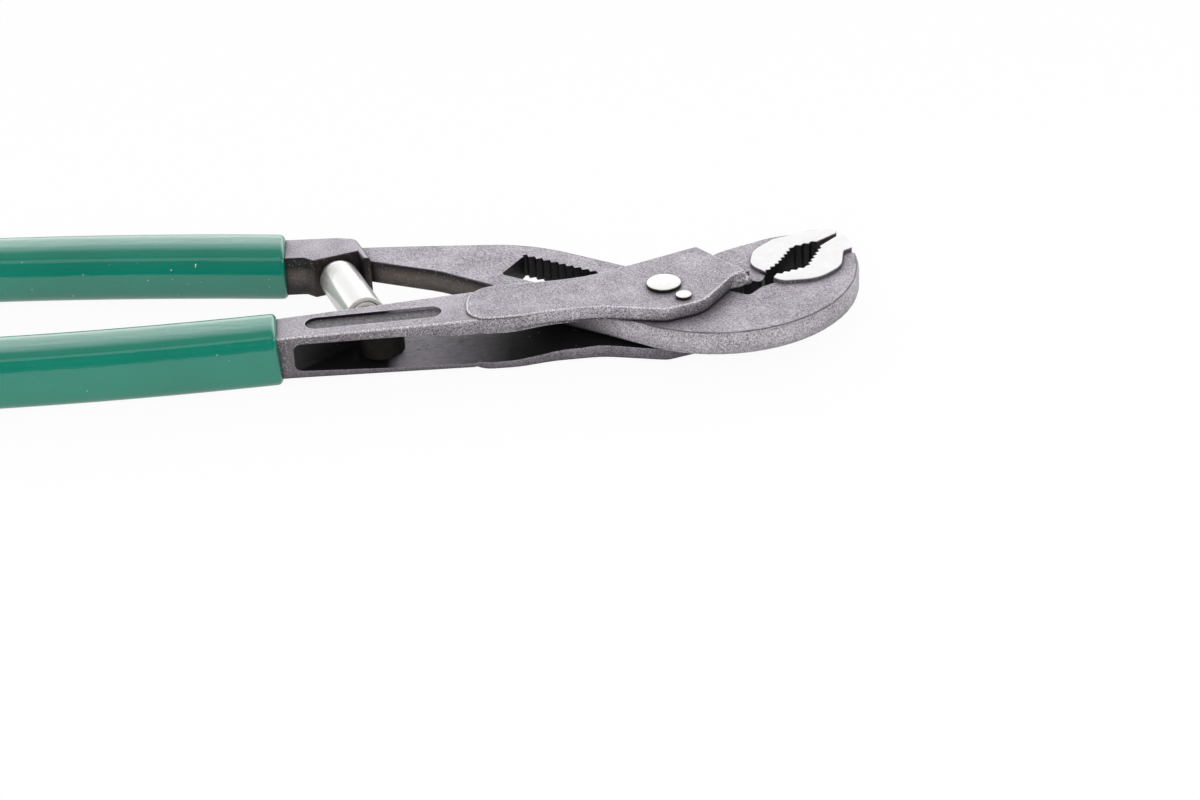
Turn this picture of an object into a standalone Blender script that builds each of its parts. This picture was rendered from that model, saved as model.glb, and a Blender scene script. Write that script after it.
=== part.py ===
"""Self-adjusting water pump pliers, closed, lying flat.

The fork lever has two cheeks and the far jaw. The slide lever passes between the cheeks, carries
the near jaw and has a slot with a rack along one wall. The main rivet joins the cheeks through
the slot, a pawl on the rivet locks in the rack, and a spring strut links the two handles.

Plan sizes are measured from the rivet's axis: X runs towards the jaws and Y towards the far
handle. Heights are measured from the mid-plane, and Z = 0 is the face the pliers rest on.
"""

import math

import bmesh
import bpy
from mathutils import Matrix, Vector

# Heights through the tool
BLADE_THICKNESS = 0.0064
CHEEK_THICKNESS = 0.0037
SHANK_CHEEK_THICKNESS = 0.0021
SHANK_RISE = 0.0009
FORK_EXTRA_DEPTH = 0.0008
JAW_BOSS_RISE = 0.0010
PANEL_DEPTH = 0.0008
RUNNING_CLEARANCE = 0.0003
SEAT_CLEARANCE = 0.0003

# Rounded rims of the forgings
FORGED_RIM = 0.0008
BLADE_RIM = 0.0010
BOSS_RIM = 0.0003
WINDOW_CORNER = 0.0018
RIM_STEPS = 3
ROUND_PROFILE = 0.5
ARC_TOLERANCE = 0.00005
ROUND_STEPS = 24

# Main rivet and stop pin
RIVET_SHANK_RADIUS = 0.0028
RIVET_HEAD_RADIUS = 0.0045
RIVET_HEAD_HEIGHT = 0.0009
RIVET_EDGE = 0.0004
STOP_PIN_X = 0.0048
STOP_PIN_Y = -0.0068
STOP_PIN_RADIUS = 0.0015
STOP_PIN_HEAD_RADIUS = 0.0021
STOP_PIN_HEAD_HEIGHT = 0.0006

# Slot and rack, measured along and across the slot from the rivet's axis
SLOT_ANGLE = math.radians(-32.0)
SLOT_BACK = 0.0459
SLOT_PLAIN_WALL = 0.0068
SLOT_CORNER = 0.0010
RACK_TIP = 0.0047
RACK_DEPTH = 0.0011
RACK_PITCH = 0.0024
BLADE_FAR_EDGE = 0.0121

# Pawl and its leaf spring
PAWL_HUB_RADIUS = 0.0043
PAWL_TEETH = 4
PAWL_FIRST_TOOTH = 0.0072
PAWL_ARM_DEPTH = 0.0020
PAWL_TILT = math.radians(8.6)
PAWL_SPRING_THICKNESS = 0.0005
PAWL_SPRING_LENGTH = 0.0110

# Strut: the domed end sits in a socket of the slide lever, the eye between the fork's cheeks
SOCKET_X = -0.0859
SOCKET_Y = 0.0259
EYE_X = -0.0736
EYE_Y = -0.0070
SOCKET_REACH = 0.0035
STRUT_RADIUS = 0.00535
STRUT_WALL = 0.0011
STRUT_TUBE_LENGTH = 0.0223
GLAND_LENGTH = 0.0024
ROD_RADIUS = 0.0026
PISTON_LENGTH = 0.0020
PISTON_TRAVEL = 0.0032
EYE_RADIUS = 0.0060
EYE_PIN_RADIUS = 0.0015
EYE_PIN_BITE = 0.0009
OPEN_PIVOT_PLAY = 0.0022
SPRING_WIRE = 0.0009
SPRING_TURNS = 6
SPRING_POINTS_PER_TURN = 10

# Handles and grips
TANG_WIDTH = 0.0115
TANG_STEPS = 7
GRIP_WALL = 0.0015
GRIP_CORNER = 0.0034
GRIP_LIP = 0.0005
GRIP_END_LENGTH = 0.0032
GRIP_CORNER_STEPS = 3
HANDLE_END_X = -0.1932
FORK_HANDLE = ((-0.0996, -0.0095), (-0.1480, -0.0135), (HANDLE_END_X, -0.0144))
SLIDE_HANDLE = ((-0.1005, 0.0349), (-0.1480, 0.0399), (HANDLE_END_X, 0.0424))

# Fork lever in plan: corners as (x, y, corner radius)
WINDOW_LEVEL_X = -0.0200
WINDOW_NEAR_Y = -0.0160
WINDOW_FLAT_Y = -0.0025
WINDOW_FAR_Y = 0.0250
WINDOW_BACK = (-0.0967, -0.0506)
WINDOW_STEPS = (
    (-0.0760, -0.0480, 0.0, 0.0013),
    (-0.0650, -0.0470, 0.0, 0.0021),
    (-0.0560, -0.0455, 0.0012, 0.0025),
    (-0.0460, -0.0440, 0.0013, 0.0029),
    (-0.0320, -0.0320, 0.0008, 0.0027),
    (-0.0220, -0.0220, 0.0005, 0.0021),
    (-0.0140, -0.0140, 0.0, 0.0017),
    (0.0300, 0.0300, 0.0, 0.0015),
)
PAD_END_X = -0.0513
PAD_END_RADIUS = 0.0082
CHEEK_OUTLINE = (
    (PAD_END_X, -0.0128, PAD_END_RADIUS),
    (-0.0385, -0.0124, 0.020),
    (-0.0290, -0.0102, 0.030),
    (-0.0165, -0.0093, 0.020),
    (0.0000, -0.0129, 0.005),
    (0.0098, -0.0093, 0.010),
    (0.0182, 0.0040, 0.004),
    (0.0215, 0.0062, 0.0006),
    (0.0096, 0.0213, 0.0010),
    (-0.0204, 0.0069, 0.045),
    (PAD_END_X, 0.0045, PAD_END_RADIUS),
)
SHANK_RISE_FROM_X = -0.1000
SHANK_RISE_TO_X = -0.0480
SHANK_NEAR_EDGE = ((-0.0930, -0.0148, 0.030), (-0.0500, -0.0126, 0.0))
SHANK_FAR_EDGE = ((-0.0500, 0.0037, 0.0), (-0.0930, -0.0027, 0.030))
SHANK_ROOT_X = -0.0350
SHANK_ROOT_HALF_WIDTH = 0.0040
PANEL_BACK = (-0.0897, -0.0080)
PANEL_FRONT = (-0.0605, -0.0061)
PANEL_WIDTH = 0.0060
WEB_CLEARANCE = 0.0006
WEB_HEEL = 0.0020
WEB_FRONT = 0.0122
WEB_BACK = 0.0060
WEB_RELIEF = math.radians(16.0)
WEB_BITE = 0.0012
WEB_NOSE = (0.0204, 0.0061)
WEB_BROW = (0.0094, 0.0200)
WEB_BROW_BACK = (0.0036, 0.0172)

# Jaws in plan
MOUTH_PITCH = 0.0021
TOOTH_DEPTH = 0.0008
FAR_JAW_ROOT = (0.0273, 0.0099)
FAR_JAW_KNEE = (0.0312, 0.0147)
FAR_JAW_APEX = (0.0355, 0.0233)
FAR_JAW_BREAK = (0.0420, 0.0259)
FAR_JAW_TIP = (0.0477, 0.0303)
FAR_JAW_BODY = (
    (0.0085, 0.0170, 0.0),
    (0.0130, 0.0105, 0.0),
    (0.0212, 0.0084, 0.002),
    (0.0256, 0.0066, 0.0012),
    (0.0284, 0.0131, 0.004),
    (0.0342, 0.0258, 0.002),
    (0.0440, 0.0302, 0.002),
    (0.0440, 0.0324, 0.0012),
    (0.0318, 0.0325, 0.020),
    (0.0146, 0.0242, 0.030),
)
FAR_BOSS_BACK = (
    (0.0480, 0.0323, 0.0010),
    (0.0408, 0.0336, 0.0020),
    (0.0376, 0.0313, 0.0020),
    (0.0304, 0.0289, 0.006),
    (0.0246, 0.0228, 0.008),
    (0.0231, 0.0148, 0.006),
)
NEAR_JAW_ROOT = (0.0300, 0.0092)
NEAR_JAW_APEX = (0.0379, 0.0125)
NEAR_JAW_BREAK = (0.0425, 0.0233)
NEAR_JAW_TIP = (0.0477, 0.0288)
NEAR_BOSS_BACK = (
    (0.0288, 0.0070, 0.0008),
    (0.0310, 0.0048, 0.004),
    (0.0408, 0.0052, 0.010),
    (0.0474, 0.0116, 0.008),
    (0.0486, 0.0199, 0.0014),
    (0.0511, 0.0214, 0.0005),
    (0.0497, 0.0294, 0.0008),
)
JAW_SWEEP_X = 0.0155
JAW_SWEEP_Y = 0.0165
JAW_SWEEP_RADIUS = 0.0367
JAW_SWEEP_START = math.radians(-127.7)
JAW_SWEEP_END = math.radians(6.0)

# Slide lever in plan
BLADE_NEAR_EDGE = (
    (-0.0840, 0.0322, 0.0),
    (-0.0775, 0.0293, 0.0),
    (-0.0585, 0.0213, 0.030),
    (-0.0457, 0.0123, 0.040),
)
BLADE_MOUTH = (
    (0.0498, 0.0226, 0.0010),
    (0.0466, 0.0258, 0.0010),
    (0.0442, 0.0222, 0.0020),
    (0.0398, 0.0124, 0.0020),
    (0.0370, 0.0100, 0.0020),
    (0.0306, 0.0074, 0.0020),
    (0.0252, 0.0044, 0.0030),
)
BLADE_HEEL = 0.0184
BLADE_SHOULDER = 0.0482
BLADE_SHOULDER_RADIUS = 0.0450
BLADE_BACK = ((-0.0680, 0.0381, 0.040), (-0.0870, 0.0391, 0.0))
SOCKET_FACE_BACK = 0.0062
SOCKET_FACE_FRONT = 0.0064
SOCKET_EAR_LENGTH = 0.0046
SLIDE_SHANK_BACK = (-0.0955, 0.0291, 0.0015)
SLIDE_SHANK_STEP = (
    (-0.0772, 0.0268, 0.0006),
    (-0.0820, 0.0392, 0.0025),
    (-0.0870, 0.0404, 0.0060),
)

# Heights that follow from the sizes above
BLADE_HALF = BLADE_THICKNESS / 2
WINDOW_HALF = BLADE_HALF + RUNNING_CLEARANCE
HEAD_HALF = WINDOW_HALF + CHEEK_THICKNESS
SHANK_HALF = WINDOW_HALF + SHANK_CHEEK_THICKNESS
BOSS_HALF = BLADE_HALF + JAW_BOSS_RISE
FORK_BOTTOM = -HEAD_HALF - FORK_EXTRA_DEPTH
MID_HEIGHT = RIVET_HEAD_HEIGHT + SEAT_CLEARANCE - FORK_BOTTOM
CUT_REACH = 2 * HEAD_HALF

# The slot's front end is where the stop pin comes to rest with the jaws closed
STOP_PIN = Vector((STOP_PIN_X, STOP_PIN_Y))
STOP_PIN_ALONG = (Matrix.Rotation(-SLOT_ANGLE, 2) @ STOP_PIN).x
SLOT_FRONT = STOP_PIN_ALONG + STOP_PIN_RADIUS + RUNNING_CLEARANCE

# Strut axis
SOCKET = Vector((SOCKET_X, SOCKET_Y))
EYE = Vector((EYE_X, EYE_Y))
STRUT_LENGTH = (EYE - SOCKET).length
STRUT_ALONG = (EYE - SOCKET).normalized()
STRUT_ACROSS = Vector((-STRUT_ALONG.y, STRUT_ALONG.x))
STRUT_ANGLE = math.atan2(STRUT_ALONG.y, STRUT_ALONG.x)
STRUT_BORE = STRUT_RADIUS - STRUT_WALL

PALETTE = {
    "forged_steel": ((0.42, 0.40, 0.43), 0.55, 0.9),
    "bright_steel": ((0.80, 0.78, 0.75), 0.25, 1.0),
    "chrome": ((0.85, 0.85, 0.85), 0.12, 1.0),
    "spring_steel": ((0.30, 0.30, 0.31), 0.40, 1.0),
    "green_vinyl": ((0.005, 0.160, 0.098), 0.30, 0.0),
}


def clear_scene():
    for old in list(bpy.data.objects):
        bpy.data.objects.remove(old, do_unlink=True)


def material(name):
    made = bpy.data.materials.get(name) or bpy.data.materials.new(name)
    colour, roughness, metallic = PALETTE[name]
    made.use_nodes = True
    shader = made.node_tree.nodes["Principled BSDF"]
    shader.inputs["Base Color"].default_value = (*colour, 1.0)
    shader.inputs["Roughness"].default_value = roughness
    shader.inputs["Metallic"].default_value = metallic
    return made


def empty(name, location, angle, parent):
    made = bpy.data.objects.new(name, None)
    bpy.context.collection.objects.link(made)
    made.parent = parent
    made.location = location
    made.rotation_euler.z = angle
    return made


def solid(name, bm, parent, finish=None, angle=0.0):
    """Turn a bmesh into a named object under its parent empty."""
    bmesh.ops.recalc_face_normals(bm, faces=bm.faces)
    mesh = bpy.data.meshes.new(name)
    bm.to_mesh(mesh)
    bm.free()
    made = bpy.data.objects.new(name, mesh)
    bpy.context.collection.objects.link(made)
    made.parent = parent
    made.rotation_euler.z = angle
    if finish:
        mesh.materials.append(material(finish))
    return made


def combine(target, operand, operation):
    """Join or cut the target with an operand that is kept as a guide only."""
    step = target.modifiers.new(operand.name, "BOOLEAN")
    step.operation = operation
    step.object = operand
    operand.hide_render = True
    operand.display_type = "WIRE"


def arc(centre, radius, start, end):
    """Points of an arc, close enough together to stay within the arc tolerance."""
    step = 2 * math.acos(1 - min(ARC_TOLERANCE / radius, 0.5))
    count = max(1, math.ceil(abs(end - start) / step))
    angles = [start + (end - start) * k / count for k in range(count + 1)]
    return [(centre[0] + radius * math.cos(a), centre[1] + radius * math.sin(a)) for a in angles]


def rounded(corners):
    """Replace each (x, y, radius) corner of a closed outline with an arc, limited by its sides."""
    points = []
    for index, (x, y, radius) in enumerate(corners):
        here = Vector((x, y))
        if radius == 0:
            points.append((x, y))
            continue
        back = Vector(corners[index - 1][:2]) - here
        ahead = Vector(corners[(index + 1) % len(corners)][:2]) - here
        half = back.angle(ahead) / 2
        reach = min(radius / math.tan(half), 0.49 * back.length, 0.49 * ahead.length)
        fitted = reach * math.tan(half)
        centre = here + (back.normalized() + ahead.normalized()).normalized() * fitted / math.sin(half)
        first = here + back.normalized() * reach - centre
        last = here + ahead.normalized() * reach - centre
        start = math.atan2(first.y, first.x)
        sweep = math.atan2(first.x * last.y - first.y * last.x, first.dot(last))
        points += arc(centre, fitted, start, start + sweep)
    return points


def sharp(points):
    return [(x, y, 0.0) for x, y in points]


def teeth(start, end, pitch, depth):
    """Points of a row of V teeth cut into the left side of a line, without its two ends."""
    first = Vector(start)
    run = Vector(end) - first
    count = max(1, round(run.length / pitch))
    inward = Vector((-run.y, run.x)).normalized() * depth
    points = []
    for k in range(count):
        points.append(first + run * (k + 0.5) / count + inward)
        points.append(first + run * (k + 1) / count)
    return [tuple(p) for p in points[:-1]]


def slot_point(along, across):
    """Plan position of a point measured along and across the slot."""
    return tuple(Matrix.Rotation(SLOT_ANGLE, 2) @ Vector((along, across)))


def slab(outline, half_height, rim=0.0, extra_depth=0.0):
    """Extrude a plan outline to both sides of the mid-plane and round its rims."""
    bm = bmesh.new()
    low = -half_height - extra_depth
    bottom = bm.faces.new([bm.verts.new((x, y, low)) for x, y in outline])
    grown = bmesh.ops.extrude_face_region(bm, geom=[bottom])["geom"]
    top = [part for part in grown if isinstance(part, bmesh.types.BMVert)]
    bmesh.ops.translate(bm, verts=top, vec=(0.0, 0.0, half_height - low))
    bmesh.ops.recalc_face_normals(bm, faces=bm.faces)
    if rim:
        edges = [e for e in bm.edges if e.verts[0].co.z == e.verts[1].co.z]
        bmesh.ops.bevel(bm, geom=edges, offset=rim, offset_type="OFFSET", segments=RIM_STEPS,
                        profile=ROUND_PROFILE, affect="EDGES", clamp_overlap=True)
    return bm


def loft(rings, closed=False):
    """Skin a chain of rings; a ring of one point is a pole, and a closed chain has no ends."""
    bm = bmesh.new()
    layers = [[bm.verts.new(point) for point in ring] for ring in rings]
    steps = max(len(layer) for layer in layers)
    followers = layers[1:] + layers[:1] if closed else layers[1:]
    for low, high in zip(layers, followers):
        for k in range(steps):
            corners = [low[k % len(low)], low[(k + 1) % len(low)]]
            corners += [high[(k + 1) % len(high)], high[k % len(high)]]
            bm.faces.new(dict.fromkeys(corners))
    if not closed:
        for end in (layers[0], layers[-1]):
            if len(end) > 2:
                bm.faces.new(end)
    return bm


def turned(profile, closed=False, axis="Z"):
    """Revolve (radius, height) points about an axis through the origin."""
    rings = []
    for radius, height in profile:
        angles = [2 * math.pi * k / ROUND_STEPS for k in range(ROUND_STEPS)] if radius else [0.0]
        rings.append([(radius * math.cos(a), radius * math.sin(a), height) for a in angles])
    bm = loft(rings, closed)
    if axis == "X":
        bmesh.ops.rotate(bm, verts=bm.verts, matrix=Matrix.Rotation(math.pi / 2, 3, "Y"))
    return bm


def rod_cutter(name, centre, radius, low, high, parent):
    bm = turned([(0.0, low), (radius, low), (radius, high), (0.0, high)])
    bmesh.ops.translate(bm, verts=bm.verts, vec=(centre[0], centre[1], 0.0))
    return solid(name, bm, parent)


def handle_frames(curve):
    """Points, forward and side directions along a handle, from its grip's mouth to its end."""
    start, middle, end = (Vector(point) for point in curve)
    control = 2 * middle - (start + end) / 2
    frames = []
    for k in range(TANG_STEPS + 1):
        t = k / TANG_STEPS
        point = (1 - t) ** 2 * start + 2 * t * (1 - t) * control + t ** 2 * end
        forward = ((1 - t) * (control - start) + t * (end - control)).normalized()
        frames.append((point, forward, Vector((forward.y, -forward.x))))
    return frames


def tang_edge(frames, side):
    """One long edge of a tang, from the mouth to the end; side is +1 for far and -1 for near."""
    return [tuple(point + across * side * TANG_WIDTH / 2) for point, _, across in frames]


def grip_ring(frame, half_width, half_height, extra_depth, corner, shift):
    """Rounded rectangle across a handle, moved along it by a shift."""
    point, forward, across = frame
    ring = []
    half_height += extra_depth / 2
    for quarter in range(4):
        start = math.pi / 2 * quarter
        sign_x = 1 if quarter in (0, 3) else -1
        sign_z = 1 if quarter in (0, 1) else -1
        for k in range(GRIP_CORNER_STEPS + 1):
            angle = start + math.pi / 2 * k / GRIP_CORNER_STEPS
            side = sign_x * (half_width - corner) + corner * math.cos(angle)
            height = sign_z * (half_height - corner) + corner * math.sin(angle)
            spot = point + forward * shift + across * side
            ring.append((spot.x, spot.y, height - extra_depth / 2))
    return ring


def make_grip(name, curve, body, extra_depth=0.0):
    """Dipped vinyl sleeve: a cavity round the tang, a rounded lip and a domed closed end."""
    frames = handle_frames(curve)
    half_width = TANG_WIDTH / 2 + SEAT_CLEARANCE
    half_height = SHANK_HALF + SEAT_CLEARANCE
    hollow_corner = FORGED_RIM + SEAT_CLEARANCE

    def hollow(frame, shift=0.0):
        return grip_ring(frame, half_width, half_height, extra_depth, hollow_corner, shift)

    def skin(frame, narrowing=0.0, shift=0.0):
        wall = GRIP_WALL - narrowing
        return grip_ring(frame, half_width + wall, half_height + wall, extra_depth, GRIP_CORNER, shift)

    rings = [hollow(frames[-1], SEAT_CLEARANCE)]
    rings += [hollow(frame) for frame in reversed(frames)]
    rings += [skin(frames[0], GRIP_LIP), skin(frames[0], 0.0, GRIP_LIP)]
    rings += [skin(frame) for frame in frames[1:]]
    for turn in (math.radians(40), math.radians(75)):
        narrowing = GRIP_END_LENGTH * (1 - math.cos(turn))
        rings.append(skin(frames[-1], narrowing, GRIP_END_LENGTH * math.sin(turn)))
    return solid(name, loft(rings), body, "green_vinyl")


def raise_shank(bm):
    """Thicken the fork's shank in a straight taper towards the head."""
    for x in (SHANK_RISE_FROM_X, SHANK_RISE_TO_X):
        geometry = list(bm.verts) + list(bm.edges) + list(bm.faces)
        bmesh.ops.bisect_plane(bm, geom=geometry, dist=1e-7, plane_co=(x, 0, 0), plane_no=(1, 0, 0))
    for vert in bm.verts:
        share = (vert.co.x - SHANK_RISE_FROM_X) / (SHANK_RISE_TO_X - SHANK_RISE_FROM_X)
        vert.co.z *= 1 + min(max(share, 0.0), 1.0) * SHANK_RISE / SHANK_HALF


def fork_shank(body):
    frames = handle_frames(FORK_HANDLE)
    root_y = (SHANK_NEAR_EDGE[-1][1] + SHANK_FAR_EDGE[0][1]) / 2
    outline = rounded(
        sharp(reversed(tang_edge(frames, -1)))
        + list(SHANK_NEAR_EDGE)
        + [(SHANK_ROOT_X, root_y - SHANK_ROOT_HALF_WIDTH, 0.0)]
        + [(SHANK_ROOT_X, root_y + SHANK_ROOT_HALF_WIDTH, 0.0)]
        + list(SHANK_FAR_EDGE)
        + sharp(tang_edge(frames, 1))
    )
    bm = slab(outline, SHANK_HALF, FORGED_RIM, FORK_EXTRA_DEPTH)
    raise_shank(bm)
    return bm


def window_ring(x_near, x_far, lip, relief, inset=0.0):
    """Upright section of the fork's window; lip and relief lower its roof and floor on the near side."""
    share = (WINDOW_LEVEL_X - x_near) / (WINDOW_LEVEL_X - WINDOW_BACK[0])
    roof = WINDOW_HALF - inset
    floor = inset - WINDOW_HALF - FORK_EXTRA_DEPTH * max(share, 0.0)
    lean = (x_far - x_near) / (WINDOW_FAR_Y - WINDOW_NEAR_Y)
    near = (x_near, WINDOW_NEAR_Y)
    flat = (x_near + lean * (WINDOW_FLAT_Y - WINDOW_NEAR_Y), WINDOW_FLAT_Y)
    far = (x_far, WINDOW_FAR_Y)
    ring = [(*near, roof - lip), (*flat, roof), (*far, roof)]
    return ring + [(*far, floor), (*flat, floor), (*near, floor - relief)]


def fork_window(body):
    """Space between the cheeks, from a slanted back wall to the open front."""
    rings = []
    for k in range(RIM_STEPS + 1):
        turn = math.pi / 2 * k / RIM_STEPS
        advance = WINDOW_CORNER * (1 - math.cos(turn))
        inset = WINDOW_CORNER * (1 - math.sin(turn))
        rings.append(window_ring(WINDOW_BACK[0] + advance, WINDOW_BACK[1] + advance, 0.0, 0.0, inset))
    rings += [window_ring(*step) for step in WINDOW_STEPS]
    return solid("fork_window", loft(rings), body)


def web_outline():
    """Web that joins the cheeks, clear of the slide lever's edge when the fork swings open."""
    edge = BLADE_FAR_EDGE + WEB_CLEARANCE
    relieved = edge + (WEB_HEEL + WEB_BACK) * math.tan(WEB_RELIEF)
    corners = [slot_point(WEB_HEEL, edge), slot_point(WEB_FRONT, edge), WEB_NOSE, WEB_BROW, WEB_BROW_BACK]
    return corners + [slot_point(-WEB_BACK, relieved)]


def far_boss_outline():
    """Ground face of the far jaw: its two toothed flanks, its flat tip and the edge behind them."""
    throat = teeth(FAR_JAW_ROOT, FAR_JAW_KNEE, MOUTH_PITCH, TOOTH_DEPTH)
    flank = teeth(FAR_JAW_KNEE, FAR_JAW_APEX, MOUTH_PITCH, TOOTH_DEPTH)
    front = teeth(FAR_JAW_APEX, FAR_JAW_BREAK, MOUTH_PITCH, TOOTH_DEPTH)
    mouth = [FAR_JAW_ROOT, *throat, FAR_JAW_KNEE, *flank, FAR_JAW_APEX, *front]
    mouth += [FAR_JAW_BREAK, FAR_JAW_TIP]
    return rounded(sharp(mouth) + list(FAR_BOSS_BACK))


def near_boss_outline():
    """Ground face of the near jaw, from its tip back to its root and round behind the teeth."""
    front = teeth(NEAR_JAW_BREAK, NEAR_JAW_APEX, MOUTH_PITCH, TOOTH_DEPTH)
    flank = teeth(NEAR_JAW_APEX, NEAR_JAW_ROOT, MOUTH_PITCH, TOOTH_DEPTH)
    mouth = [NEAR_JAW_TIP, NEAR_JAW_BREAK, *front, NEAR_JAW_APEX, *flank, NEAR_JAW_ROOT]
    return rounded(sharp(mouth) + list(NEAR_BOSS_BACK))


def panel_outline():
    """Long recess with round ends on top of the fork's shank."""
    back = Vector(PANEL_BACK)
    front = Vector(PANEL_FRONT)
    lean = math.atan2((front - back).y, (front - back).x)
    radius = PANEL_WIDTH / 2
    return (arc(back, radius, lean + math.pi / 2, lean + 3 * math.pi / 2)
            + arc(front, radius, lean - math.pi / 2, lean + math.pi / 2))


def make_fork_lever(body):
    """Forged fork: shank and cheeks, split by the window, joined in front by the far jaw's web."""
    fork = solid("fork_lever", fork_shank(body), body, "forged_steel")
    cheeks = slab(rounded(CHEEK_OUTLINE), HEAD_HALF, FORGED_RIM, FORK_EXTRA_DEPTH)
    combine(fork, solid("fork_cheeks", cheeks, body), "UNION")
    combine(fork, fork_window(body), "DIFFERENCE")
    combine(fork, solid("fork_web", slab(web_outline(), WINDOW_HALF + WEB_BITE), body), "UNION")
    jaw = solid("far_jaw", slab(rounded(FAR_JAW_BODY), BLADE_HALF, BLADE_RIM), body)
    combine(fork, jaw, "UNION")
    combine(fork, solid("far_boss", slab(far_boss_outline(), BOSS_HALF, BOSS_RIM), body), "UNION")
    bore = RIVET_SHANK_RADIUS + SEAT_CLEARANCE
    combine(fork, rod_cutter("fork_rivet_bore", (0, 0), bore, -CUT_REACH, CUT_REACH, body), "DIFFERENCE")
    bore = STOP_PIN_RADIUS + SEAT_CLEARANCE
    combine(fork, rod_cutter("fork_stop_bore", STOP_PIN, bore, -CUT_REACH, CUT_REACH, body), "DIFFERENCE")
    bore = EYE_PIN_RADIUS + SEAT_CLEARANCE
    depth = WINDOW_HALF + EYE_PIN_BITE + SEAT_CLEARANCE
    combine(fork, rod_cutter("fork_eye_bore", EYE, bore, -CUT_REACH, depth, body), "DIFFERENCE")
    panel = slab(panel_outline(), CUT_REACH / 2)
    bmesh.ops.translate(panel, verts=panel.verts, vec=(0.0, 0.0, CUT_REACH / 2))
    lean = SHANK_RISE / (SHANK_RISE_TO_X - SHANK_RISE_FROM_X)
    for vert in panel.verts:
        vert.co.z += SHANK_HALF - PANEL_DEPTH + lean * (vert.co.x - SHANK_RISE_FROM_X)
    combine(fork, solid("fork_panel", panel, body), "DIFFERENCE")
    return fork


def slide_shank_outline():
    """Thick shank with the socket's flat face square to the strut, and the ear beside it."""
    frames = handle_frames(SLIDE_HANDLE)
    face = SOCKET - STRUT_ALONG * SOCKET_REACH
    back = face - STRUT_ACROSS * SOCKET_FACE_BACK
    front = face + STRUT_ACROSS * SOCKET_FACE_FRONT
    ear = front + STRUT_ALONG * SOCKET_EAR_LENGTH
    return rounded(
        sharp(reversed(tang_edge(frames, -1)))
        + [SLIDE_SHANK_BACK, (*back, FORGED_RIM), (*front, 0.0), (*ear, FORGED_RIM)]
        + list(SLIDE_SHANK_STEP)
        + sharp(tang_edge(frames, 1))
    )


def blade_outline():
    """Flat blade from the shank to the near jaw, whose outer edge is one sweeping arc."""
    sweep = arc((JAW_SWEEP_X, JAW_SWEEP_Y), JAW_SWEEP_RADIUS, JAW_SWEEP_START, JAW_SWEEP_END)
    heel = (*slot_point(BLADE_HEEL, BLADE_FAR_EDGE), BLADE_RIM)
    shoulder = (*slot_point(-BLADE_SHOULDER, BLADE_FAR_EDGE), BLADE_SHOULDER_RADIUS)
    corners = list(BLADE_NEAR_EDGE) + sharp(sweep) + list(BLADE_MOUTH) + [heel, shoulder] + list(BLADE_BACK)
    return rounded(corners)


def rack_roots():
    """Places of the rack's tooth roots along the slot, in step with the pawl when it is home."""
    behind = math.floor((SLOT_BACK - PAWL_FIRST_TOOTH) / RACK_PITCH)
    ahead = math.floor((SLOT_FRONT + PAWL_FIRST_TOOTH) / RACK_PITCH - 0.5)
    return [RACK_PITCH * k - PAWL_FIRST_TOOTH for k in range(-behind, ahead + 1)]


def slot_outline():
    """Slot of the slide lever in its own directions, with the rack along its far wall."""
    corners = [(-SLOT_BACK, RACK_TIP, 0.0), (-SLOT_BACK, -SLOT_PLAIN_WALL, SLOT_CORNER)]
    corners += [(SLOT_FRONT, -SLOT_PLAIN_WALL, SLOT_CORNER), (SLOT_FRONT, RACK_TIP, SLOT_CORNER)]
    rack = []
    for root in reversed(rack_roots()):
        rack.append((root + RACK_PITCH / 2, RACK_TIP))
        rack.append((root, RACK_TIP + RACK_DEPTH))
    rack.append((rack[-1][0] - RACK_PITCH / 2, RACK_TIP))
    return rounded(corners + sharp(rack))


def make_slide_lever(body, slot):
    """Forged lever: thick shank, slotted blade, near jaw and the strut's socket."""
    lever = solid("slide_lever", slab(slide_shank_outline(), SHANK_HALF, FORGED_RIM), body, "forged_steel")
    combine(lever, solid("blade", slab(blade_outline(), BLADE_HALF, BLADE_RIM), body), "UNION")
    combine(lever, solid("near_boss", slab(near_boss_outline(), BOSS_HALF, BOSS_RIM), body), "UNION")
    combine(lever, solid("rack_slot", slab(slot_outline(), CUT_REACH), slot), "DIFFERENCE")
    radius = STRUT_RADIUS + SEAT_CLEARANCE
    ball = bmesh.new()
    bmesh.ops.create_uvsphere(ball, u_segments=ROUND_STEPS, v_segments=ROUND_STEPS // 2, radius=radius)
    bmesh.ops.translate(ball, verts=ball.verts, vec=(SOCKET.x, SOCKET.y, 0.0))
    combine(lever, solid("socket_ball", ball, body), "DIFFERENCE")
    return lever


def make_main_rivet(body):
    """Rivet through both cheeks, with a flat round head on each side."""
    head = HEAD_HALF + SEAT_CLEARANCE
    top = head + RIVET_HEAD_HEIGHT
    half = [(0.0, top), (RIVET_HEAD_RADIUS - RIVET_EDGE, top), (RIVET_HEAD_RADIUS, top - RIVET_EDGE)]
    half += [(RIVET_HEAD_RADIUS, head), (RIVET_SHANK_RADIUS, head)]
    profile = [(radius, -height - FORK_EXTRA_DEPTH) for radius, height in half] + list(reversed(half))
    return solid("main_rivet", turned(profile), body, "bright_steel")


def make_stop_pin(body):
    """Small pin through the cheeks that stops at the slot's front end when the jaws are closed."""
    head = HEAD_HALF + SEAT_CLEARANCE
    top = head + STOP_PIN_HEAD_HEIGHT
    half = [(0.0, top), (STOP_PIN_RADIUS, top), (STOP_PIN_HEAD_RADIUS, head), (STOP_PIN_RADIUS, head)]
    profile = [(radius, -height - FORK_EXTRA_DEPTH) for radius, height in half] + list(reversed(half))
    bm = turned(profile)
    bmesh.ops.translate(bm, verts=bm.verts, vec=(STOP_PIN.x, STOP_PIN.y, 0.0))
    return solid("stop_pin", bm, body, "bright_steel")


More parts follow.
